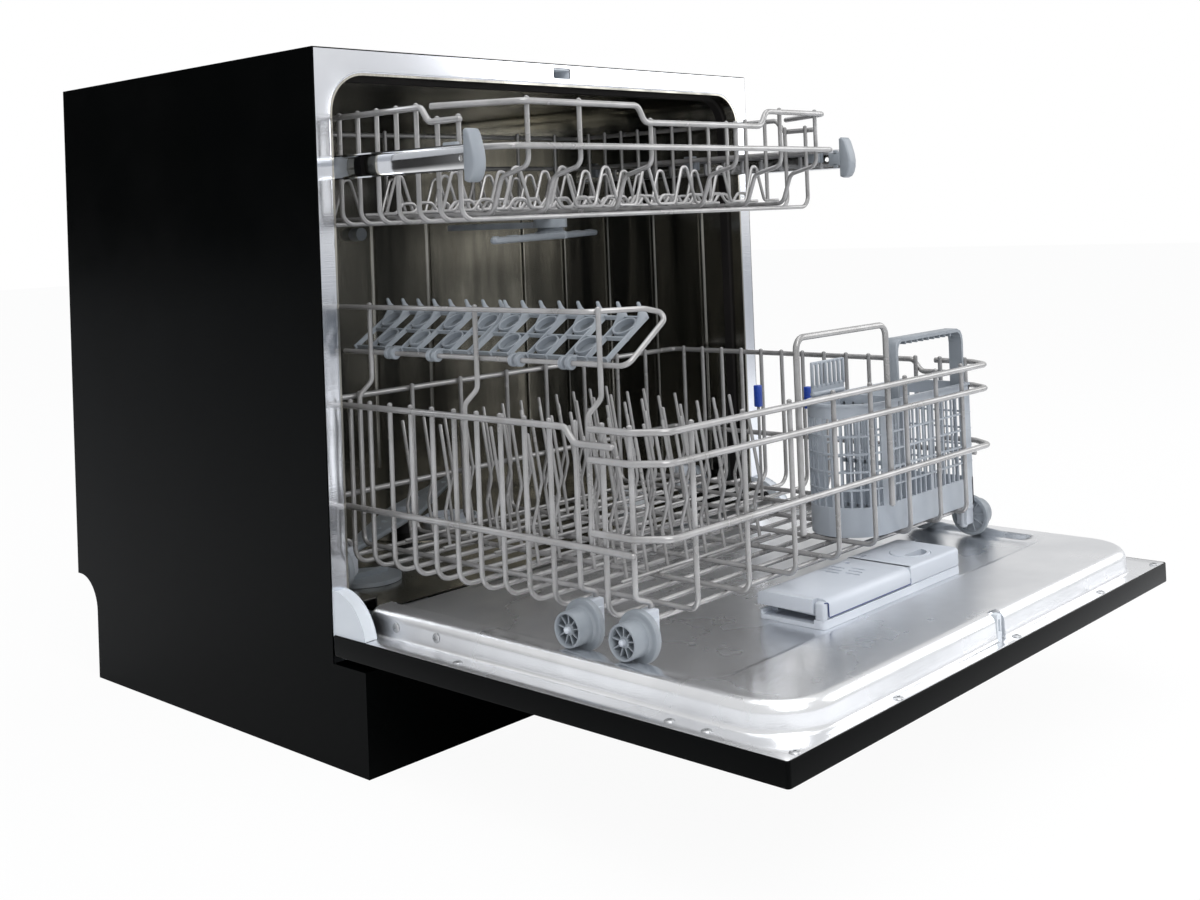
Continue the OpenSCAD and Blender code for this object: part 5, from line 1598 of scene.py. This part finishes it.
    def build(self) -> None:
        """Builds the frame, the covers and both arms."""
        self.frame()
        self.covers()
        self.arm("upper_arm_blade", centre=(0, -180, 437), length=390, turn=31, width=34,
                 body="upper_arm", node="upper_spray_arm")
        self.arm("lower_arm_blade", centre=(-38, 30, 140), length=400, turn=35, width=44,
                 body="lower_arm", node="lower_spray_arm")


# ---- door ----


@dataclass
class Door:
    """Drop-down door: black outer pan, pressed steel liner, dispenser and screws.

    Attributes:
        reach: Distance of the door's free edge from the hinge.
        rim_side: Width of the liner's flat rim at the sides.
        rim_front: Width of the flat rim at the free edge.
        tray_r: Corner radius of the raised tray.
        tray_start: Distance of the tray's start from the hinge.
        recess_side: Width of the tray's raised border at the sides.
        recess_s: Distance of the recess's end from the hinge.
        half_w: Half of the door's width.
        skin: Sheet thickness of the outer pan.
        thick: Depth of the pan.
        disp_x: Left side of the dispenser.
        disp_s: Distance of the dispenser from the hinge.
        disp_w: Width of the dispenser.
        disp_l: Length of the dispenser, away from the hinge.
        disp_h: Height of the dispenser above the recess.
        seam_h: Height of the dispenser's seam above the recess.
        flap_w: Distance of the flap's right end from the dispenser's left side.
        cap_d: Diameter of the rinse-aid cap.
        cap_x: Distance of the cap's axis from the dispenser's left side.
        cap_s: Distance of the cap's axis from the dispenser's rear edge.
        front_screws: Places of the inner screws on the rim at the free edge.
        side_screws: Distances of the screws on the side rims from the hinge.
        flank_screws: Distances of the screws on the tray's sides from the hinge.
    """

    reach: float = 481.0
    rim_side: float = 22.5
    rim_front: float = 12.0
    tray_r: float = 48.0
    tray_start: float = 20.0
    recess_side: float = 24.0
    recess_s: float = 387.0
    half_w: float = CABINET_W / 2
    skin: float = 1.2
    thick: float = 18.0
    disp_x: float = -98.0
    disp_s: float = 303.0
    disp_w: float = 212.0
    disp_l: float = 66.0
    disp_h: float = 22.5
    seam_h: float = 7.0
    flap_w: float = 128.0
    cap_d: float = 36.0
    cap_x: float = 172.0
    cap_s: float = 38.0
    front_screws: tuple[float, ...] = (-160, 14, 168)
    side_screws: tuple[float, ...] = (150, 372, 405)
    flank_screws: tuple[float, ...] = (58, 110)

    @staticmethod
    def flank(height: float) -> list[tuple[float, float]]:
        """Profile of the tray's flank.

        Args:
            height: Height of the tray above the rim.

        Returns:
            Distance inwards from the flank's foot and height above the rim, point by point.
        """
        foot, top, lean = 3.0, 9.0, 0.8
        line = [(-foot - 6, 0.0), (-foot, 0.0)]
        for turn in (25, 50, 75):
            a = math.radians(turn)
            line.append((-foot * (1 - math.sin(a)), foot * (1 - math.cos(a)) * 0.8))
        line += [(0.3, foot + 1.5), (lean, height - top + 0.5)]
        for turn in (12, 26, 40, 54, 68, 80, 90):
            a = math.radians(turn)
            line.append((lean + top * (1 - math.cos(a)), height - top + top * math.sin(a)))
        line.append((lean + top + 6, height))
        return line

    def liner(self) -> None:
        """Builds the pressed liner from rings that run inwards."""
        x, s1 = self.half_w - self.rim_side, self.reach - self.rim_front
        rings = [self.ring(self.half_w - self.skin - e, 3.4 + e, self.reach - self.skin - e, 2.0, 3.0, z, 0.0)
                 for e, z in ((0.0, LINER_Z - 0.9), (0.0, LINER_Z - 0.3), (0.3, LINER_Z))]
        for d, h in self.flank(TRAY_Z - LINER_Z):
            pocket = 8.0 if d < 8.0 else 0.0
            rings.append(self.ring(x - d, self.tray_start + d * 0.4, s1 - d, 5.0, self.tray_r - max(d, -4.0),
                                   LINER_Z + h, pocket))
        side_x = x - self.recess_side
        for i in range(9):
            t = i / 8
            ease = t * t * (3 - 2 * t)
            rings.append(self.ring(side_x + 3 - 7 * t, self.tray_start + 8, self.recess_s + 3 - 19 * t, 2.0,
                                   22.0 - 4 * t, TRAY_Z - (TRAY_Z - RECESS_Z) * ease, 0.0))
        # Close to the hinge the tray is as low as its recess.
        low_y = FRONT_Y - self.tray_start - 10.5
        lowered = [[(u, y, min(z, RECESS_Z) if y > low_y and abs(u) < side_x else z) for u, y, z in ring]
                   for ring in rings]
        sketch = Sketch()
        sketch.loft(lowered, cap_start=False)
        piece = sketch.build("door_pressed_liner", LINER_STEEL, "door", ["door_liner", "liner_panel"], 50.0)
        sheet = piece.modifiers.new("sheet", "SOLIDIFY")
        sheet.thickness = 0.8 * MM
        sheet.offset = -1.0

    @staticmethod
    def ring(x: float, s0: float, s1: float, r0: float, r1: float, z: float, pocket: float) -> list[Point]:
        """One ring of the liner, always with as many points.

        Args:
            x: Half of the ring's width.
            s0: Distance of its hinge side from the hinge.
            s1: Distance of its free side from the hinge.
            r0: Corner radius at the hinge side.
            r1: Corner radius at the free side.
            z: Height.
            pocket: How far back the ring steps at the latch pocket.

        Returns:
            The ring's points, anticlockwise from the free side's left corner.
        """
        ring: list[Point] = []

        def corner(cx: float, cy: float, r: float, start: float) -> None:
            """Adds a quarter turn to the ring."""
            for i in range(13):
                a = math.radians(start + 90 * i / 12)
                ring.append((cx + r * math.cos(a), cy + r * math.sin(a), z))

        y1, y0 = FRONT_Y - s1, FRONT_Y - s0
        corner(-x + r1, y1 + r1, r1, 180)
        for u in (-120.0, -7.2, -6.6, -6.0, 6.0, 6.6, 7.2, 120.0):
            step = pocket * (1.0 if abs(u) <= 6.0 else 0.5 if abs(u) <= 6.6 else 0.0)
            ring.append((u, y1 + step, z))
        corner(x - r1, y1 + r1, r1, 270)
        ring += [(x, y1 + (y0 - y1) * k / 4, z) for k in (1, 2, 3)]
        corner(x - r0, y0 - r0, r0, 0)
        squeeze = min(1.0, x / 260.0)
        ring += [(u * squeeze, y0, z) for u in (251.6, 250.4, 120.0, 0.0, -120.0, -250.4, -251.6)]
        corner(-x + r0, y0 - r0, r0, 90)
        ring += [(-x, y0 + (y1 - y0) * k / 4, z) for k in (1, 2, 3)]
        return ring

    def outer(self) -> None:
        """Builds the black outer pan with its softly rounded edges."""
        sketch = Sketch()
        x, y1, y0, skin = self.half_w, FRONT_Y - self.reach, FRONT_Y - 2, self.skin
        low = LINER_Z - self.thick
        outline = round_rect(-x, x, y1, y0, [3.0, 3.0, 1.0, 1.0], 5)
        inner = round_rect(-x + skin, x - skin, y1 + skin, y0 - skin, [2.0, 2.0, 0.6, 0.6], 5)
        levels = [(inset(outline, 1.4), low), (inset(outline, 0.4), low + 0.4),
                  (inset(outline, 0.0), low + 1.4), (outline, LINER_Z - 0.5), (inset(outline, 0.4), LINER_Z),
                  (inner, LINER_Z), (inner, low + skin)]
        rings = [[(u, v, z) for u, v in line] for line, z in levels]
        sketch.loft(rings)
        sketch.build("door_black_pan", ENAMEL, "door", ["door_outer"])

    def screw(self, sketch: Sketch, centre: Point, axis: str) -> None:
        """Adds a pan-head screw with a cross recess.

        Args:
            sketch: Sketch that takes the screw.
            centre: Foot of the head.
            axis: Axis along which the head stands up.
        """
        spin = {"Z": Matrix.Identity(4), "X": Matrix.Rotation(math.pi / 2, 4, "Y"),
                "-X": Matrix.Rotation(-math.pi / 2, 4, "Y")}[axis]
        sketch.place = Matrix.Translation(centre) @ spin
        head = ((4.0, 0.0), (4.0, 0.35), (3.7, 0.8), (3.1, 1.15), (2.4, 1.35))
        cross = ((1.0, 1.38), (0.92, 0.5), (0.5, 0.45))
        around = turns(48)
        rings = [[(r * math.cos(a), r * math.sin(a), h) for a in around] for r, h in head]
        for r, h in cross:
            ring = []
            for a in around:
                lobe = 2.15 * r * (0.42 + 0.58 * max(0.0, math.cos(4 * a)) ** 0.6)
                ring.append((lobe * math.cos(a), lobe * math.sin(a), h))
            rings.append(ring)
        sketch.loft(rings)
        sketch.place = Matrix.Identity(4)

    def screws(self) -> None:
        """Builds the screws on the rim and on the tray's sides."""
        sketch = Sketch()
        front_s = self.reach - self.rim_front / 2
        side_x = self.half_w - self.rim_side / 2
        for x in (-side_x + 4, *self.front_screws, side_x - 4):
            self.screw(sketch, (x, FRONT_Y - front_s, LINER_Z), "Z")
        for s in self.side_screws:
            for x in (-side_x, side_x):
                self.screw(sketch, (x, FRONT_Y - s, LINER_Z), "Z")
        for s in self.flank_screws:
            for side, axis in ((-1, "-X"), (1, "X")):
                x = side * (self.half_w - self.rim_side - 0.4)
                self.screw(sketch, (x, FRONT_Y - s, (LINER_Z + TRAY_Z) / 2 - 1.0), axis)
        sketch.build("door_cross_screws", ZINC, "door", ["door_screws"], 28.0)

    def dispenser(self) -> None:
        """Builds the dispenser's base, housing, flap and rinse-aid cap."""
        x0, x1, flap_x = self.disp_x, self.disp_x + self.disp_w, self.disp_x + self.flap_w
        y1, y0 = FRONT_Y - self.disp_s, FRONT_Y - self.disp_s - self.disp_l
        top, seam = RECESS_Z + self.disp_h, RECESS_Z + self.seam_h
        cap_x, cap_y = self.disp_x + self.cap_x, y1 - self.cap_s
        self.base(x0, x1, y0, y1, flap_x, seam)
        self.housing(flap_x, x1, y0, y1, seam, top, (cap_x, cap_y))
        post = Sketch()
        post.block((x0, y0 + 0.2, seam - 1), (x0 + 6.5, y0 + 9.5, top - 1.2), 2.2, 3)
        post.build("dispenser_hinge_post", LIGHT_GREY, "door", ["dispenser"])
        self.flap(x0, flap_x, y0, y1, seam, top)
        # A dark line along the flap's outline: painted shade in the gap between the flap and the rest of the
        # dispenser.
        line = Sketch()
        front, end = y0 + 0.3, flap_x - 0.4
        line.wire([(x0 + 2, front, top - 1.6), (x0 + 6.9, front, top - 2.4), (x0 + 7.1, front, seam + 1.6),
                   (end, front, seam + 1.6), (end, front, seam + 6)], 1.0, 1.6, 8)
        line.build("dispenser_seam_gap_shade", GAP_SHADE_BLUE, "door")
        self.cap(cap_x, cap_y, top)

    @staticmethod
    def base(x0: float, x1: float, y0: float, y1: float, flap_x: float, seam: float) -> None:
        """Builds the base with its detergent chamber and the mouth at the left.

        Args:
            x0: Left end.
            x1: Right end.
            y0: Front edge.
            y1: Rear edge.
            flap_x: Right end of the flap.
            seam: Height of the seam.
        """
        sketch, chamber, mouth = Sketch(), Sketch(), Sketch()
        sketch.plate(round_rect(x0, x1, y0, y1, [5, 7, 7, 5], 6), RECESS_Z, seam, 0.5)
        piece = sketch.build("dispenser_base", LIGHT_GREY, "door", ["dispenser"])
        chamber.plate(round_rect(x0 + 8, flap_x - 12, y0 + 8, y1 - 10, [4] * 4, 4), RECESS_Z + 2, seam + 5)
        mouth.block((x0 - 2, y0 + 10, seam - 3.4), (x0 + 14, y1 - 4, seam + 3), 0.8)
        cut(piece, [chamber, mouth])
        sharpen(piece)

    def housing(self, x0: float, x1: float, y0: float, y1: float, seam: float, top: float,
                cap: tuple[float, float]) -> None:
        """Builds the housing with the cap's well and three notches.

        Args:
            x0: Left end.
            x1: Right end.
            y0: Front edge.
            y1: Rear edge.
            seam: Height of the seam.
            top: Height of the top.
            cap: Place of the cap's axis.
        """
        sketch, well = Sketch(), Sketch()
        sketch.plate(round_rect(x0, x1, y0, y1, [0.6, 7, 7, 0.6], 6), seam - 0.4, top, 2.6, steps=4)
        piece = sketch.build("dispenser_housing", LIGHT_GREY, "door", ["dispenser"])
        r = self.cap_d / 2
        well.lathe([(r + 0.3, top - 8), (r + 0.3, top - 0.7), (r + 1.2, top + 1.0)], (*cap, 0), "Z", 64)
        tools = [well]
        for i in range(3):
            left, rear = x0 + 5 + i * 4.4, y1 - 9 + i * 1.2
            notch = Sketch()
            notch.block((left, rear - 5, top - 2.5), (left + 1.6, rear, top + 2), 0.0)
            tools.append(notch)
        cut(piece, tools)
        sharpen(piece)

    def flap(self, x0: float, x1: float, y0: float, y1: float, seam: float, top: float) -> None:
        """Builds the detergent flap.

        Args:
            x0: Left end of the dispenser.
            x1: Right end of the flap.
            y0: Front edge.
            y1: Rear edge.
            seam: Height of the seam.
            top: Height of the top.
        """
        sketch, shape = Sketch(), []
        for turn in (180, 202, 225, 248, 270):
            a = math.radians(turn)
            shape.append((y0 + 2 + 2 * math.cos(a), seam + 2.3 + 2 * math.sin(a)))
        shape += [(y1, seam + 2.2), (y1, top - 4), (y1 - 1.2, top - 1.2), (y1 - 4, top), (y0 + 6.5, top),
                  (y0 + 3.4, top - 0.8), (y0 + 1.0, top - 2.8), (y0, top - 6)]
        sketch.plate(shape, x0 + 7.2, x1 - 0.5, 0.5, "X", 2)
        wing = [(y0 + 11, seam + 4.5), (y1, seam + 4.5), (y1, top - 4), (y1 - 1.2, top - 1.2), (y1 - 4, top),
                (y0 + 11, top)]
        sketch.plate(wing, x0, x0 + 7.4, 0.5, "X", 2)
        piece = sketch.build("detergent_flap_cover", LIGHT_GREY, "flap", ["detergent_flap"])
        cut(piece, self.flap_slots(x0, y1, top))
        sharpen(piece)

    @staticmethod
    def flap_slots(x0: float, y1: float, top: float) -> list[Sketch]:
        """Shapes that cut the six slots and the eye into the flap. It also builds dark floors in them as
        painted shade.

        Args:
            x0: Left end of the dispenser.
            y1: Its rear edge.
            top: Height of its top.

        Returns:
            One sketch for each cut.
        """
        tools, shade_floors = [], Sketch()
        cut_z, floor_z, cover_z = top - 2.5, top - 3.2, top - 1.2
        for i in range(3):
            for j in (0, 1):
                slot = Sketch()
                left, rear = x0 + 94 - i * 8 + j * 4.5, y1 - 6 - i * 2.6 - j * 18
                outline = round_rect(left, left + 2.0, rear - 15, rear, [0.9] * 4, 3)
                slot.plate(outline, cut_z, top + 2)
                shade_floors.plate(outline, floor_z, cover_z)
                tools.append(slot)
        eye, r, centre = Sketch(), 2.4, (x0 + 112, y1 - 12, 0)
        eye.lathe([(r, cut_z), (r, top + 2)], centre, "Z", 32)
        shade_floors.lathe([(r, floor_z), (r, cover_z), (0.01, cover_z)], centre, "Z", 32)
        # The dark floors in the slots and the eye are painted shade.
        shade_floors.build("flap_slot_shade_floors", GAP_SHADE_BLUE, "flap")
        return tools + [eye]

    def cap(self, x: float, y: float, top: float) -> None:
        """Builds the rinse-aid cap, a disc with a half-moon finger well whose floor holds a dark plate of
        painted shade.

        Args:
            x: Place of its axis.
            y: Place of its axis.
            top: Height of the dispenser's top.
        """
        r, low, high = self.cap_d / 2, top - 7.7, top + 0.6
        disc = Sketch()
        disc.lathe([(0.01, low), (r - 0.4, low), (r, low + 0.5), (r, high - 0.8), (r - 0.3, high - 0.2),
                    (r - 0.9, high), (0.01, high)], (x, y, 0), "Z", 72)
        cap = disc.build("rinse_aid_cap_disc", LIGHT_GREY, "rinse_cap", ["rinse_cap"])
        well = Sketch()
        moon_r = r - 3.2
        moon = [(moon_r * math.cos(a), moon_r * math.sin(a)) for a in
                (math.radians(190 + 160 * i / 20) for i in range(21))]
        well.place = Matrix.Translation((x, y, 0))
        well.plate(moon, low + 2.6, high + 2)
        cut(cap, [well])
        sharpen(cap)
        # A darker plate on the finger well's floor is painted shade in the well.
        grip = Sketch()
        grip.place = Matrix.Translation((x, y, 0))
        grip.plate([(0.97 * u, 0.97 * v) for u, v in moon], low + 2.4, low + 3.4)
        grip.build("rinse_aid_cap_well_shade", BLUE_GREY, "rinse_cap")

    def build(self) -> None:
        """Builds everything that rides on the door."""
        self.outer()
        self.liner()
        self.screws()
        self.dispenser()


# ---- stage ----


def build_floor() -> None:
    """Builds the floor, which is nearly plain white for the camera and takes faint shadows."""
    reach = 12.0
    mesh = bpy.data.meshes.new("studio_floor")
    mesh.from_pydata([(-reach, -reach, 0), (reach, -reach, 0), (reach, reach, 0), (-reach, reach, 0)], [],
                     [(0, 1, 2, 3)])
    ground = bpy.data.objects.new("studio_floor", mesh)
    bpy.context.scene.collection.objects.link(ground)
    paint = bpy.data.materials.new("studio_floor_paint")
    paint.use_nodes = True
    tree = paint.node_tree
    base = tree.nodes["Principled BSDF"]
    base.inputs["Base Color"].default_value = (1.0, 1.0, 1.0, 1.0)
    base.inputs["Roughness"].default_value = 0.9
    glow = tree.nodes.new("ShaderNodeEmission")
    glow.inputs["Strength"].default_value = 1.0
    ray = tree.nodes.new("ShaderNodeLightPath")
    share = tree.nodes.new("ShaderNodeMath")
    share.operation = "MULTIPLY"
    share.inputs[1].default_value = 0.95
    mix = tree.nodes.new("ShaderNodeMixShader")
    join(ray, "Is Camera Ray", share, 0)
    join(share, "Value", mix, "Fac")
    join(base, "BSDF", mix, 1)
    join(glow, "Emission", mix, 2)
    join(mix, "Shader", tree.nodes["Material Output"], "Surface")
    mesh.materials.append(paint)


def build_world() -> None:
    """Builds the world: white as backdrop, cool grey as light, and a third one for reflections.

    The world that glossy surfaces mirror is white, with one dark patch at the left behind the cabinet.
    The patch keeps the glossy black side panel dark, while the steel still mirrors white.
    """
    world = bpy.data.worlds.new("studio")
    bpy.context.scene.world = world
    world.use_nodes = True
    sky = world.node_tree
    plain = sky.nodes["Background"]
    plain.inputs["Color"].default_value = (0.80, 0.83, 0.88, 1.0)
    plain.inputs["Strength"].default_value = 0.55
    backdrop = sky.nodes.new("ShaderNodeBackground")
    backdrop.inputs["Color"].default_value = (1.0, 1.0, 1.0, 1.0)
    mirrored = sky.nodes.new("ShaderNodeBackground")
    ways = sky.nodes.new("ShaderNodeTexCoord")
    facing = sky.nodes.new("ShaderNodeVectorMath")
    facing.operation = "DOT_PRODUCT"
    facing.inputs[1].default_value = (-0.45, 0.89, 0.0)
    shade = sky.nodes.new("ShaderNodeMapRange")
    shade.inputs["From Min"].default_value = 0.945
    shade.inputs["From Max"].default_value = 0.972
    shade.inputs["To Min"].default_value = 1.0
    shade.inputs["To Max"].default_value = 0.04
    path = sky.nodes.new("ShaderNodeLightPath")
    blend_mirror = sky.nodes.new("ShaderNodeMixShader")
    blend_view = sky.nodes.new("ShaderNodeMixShader")
    join(ways, "Generated", facing, 0)
    join(facing, "Value", shade, "Value")
    join(shade, "Result", mirrored, "Strength")
    join(path, "Is Glossy Ray", blend_mirror, "Fac")
    join(plain, "Background", blend_mirror, 1)
    join(mirrored, "Background", blend_mirror, 2)
    join(path, "Is Camera Ray", blend_view, "Fac")
    join(blend_mirror, "Shader", blend_view, 1)
    join(backdrop, "Background", blend_view, 2)
    join(blend_view, "Shader", sky.nodes["World Output"], "Surface")


def build_stage() -> None:
    """Builds the floor, the world and the lamps."""
    build_floor()
    build_world()
    add_lamp("key_softbox", place=(-1.1, -2.2, 2.1), aim=(0.0, -0.3, 0.3), size=1.6, power=34.0)
    add_lamp("fill_softbox", place=(1.9, -1.6, 1.2), aim=(0.0, -0.4, 0.3), size=1.4, power=14.0)
    add_lamp("top_softbox", place=(0.0, -0.6, 2.6), aim=(0.0, -0.3, 0.2), size=2.0, power=22.0)


def add_lamp(name: str, place: Point, aim: Point, size: float, power: float) -> None:
    """Adds a soft area lamp.

    Args:
        name: Name of the lamp.
        place: Where it stands, in metres.
        aim: Point that it faces.
        size: Side of its square.
        power: Power in watts.
    """
    lamp = bpy.data.lights.new(name, "AREA")
    lamp.size = size
    lamp.energy = power
    stand = bpy.data.objects.new(name, lamp)
    stand.location = place
    stand.rotation_euler = (Vector(aim) - Vector(place)).to_track_quat("-Z", "Y").to_euler()
    bpy.context.scene.collection.objects.link(stand)


def build_camera() -> None:
    """Places the camera at the left front corner, a little below the middle of the cabinet."""
    data = bpy.data.cameras.new("camera")
    data.sensor_width = 36.0
    data.lens = 42.6
    data.shift_x = -0.0596
    data.shift_y = -0.2181
    data.clip_start = 0.05
    data.clip_end = 60.0
    camera = bpy.data.objects.new("camera", data)
    camera.location = (-1.00842, -1.23227, 0.45825)
    camera.rotation_euler = tuple(math.radians(a) for a in (91.0247, 2.2764, -48.6704))
    bpy.context.scene.collection.objects.link(camera)
    bpy.context.scene.camera = camera


def main() -> None:
    """Loads the frame, dresses it and builds the finer pieces in order."""
    logging.basicConfig(level=logging.INFO, format="%(name)s %(message)s")
    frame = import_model()
    scene = bpy.context.scene
    scene.view_settings.view_transform = "Standard"
    build_camera()
    build_stage()
    slots = {row["node"]: row["material_slot"] for row in frame["record"]["subparts"]}
    for name, node in frame["nodes"].items():
        dress(node, NODE_FINISH[slots[name]])
        LOG.info("%s: %s", name, slots[name])
    rack = LowerRack()
    for part in (Tub(), Door(), rack, UpperRack(), CutleryBasket()):
        part.build()
    CupShelves().build(rack)


if __name__ == "__main__":
    main()
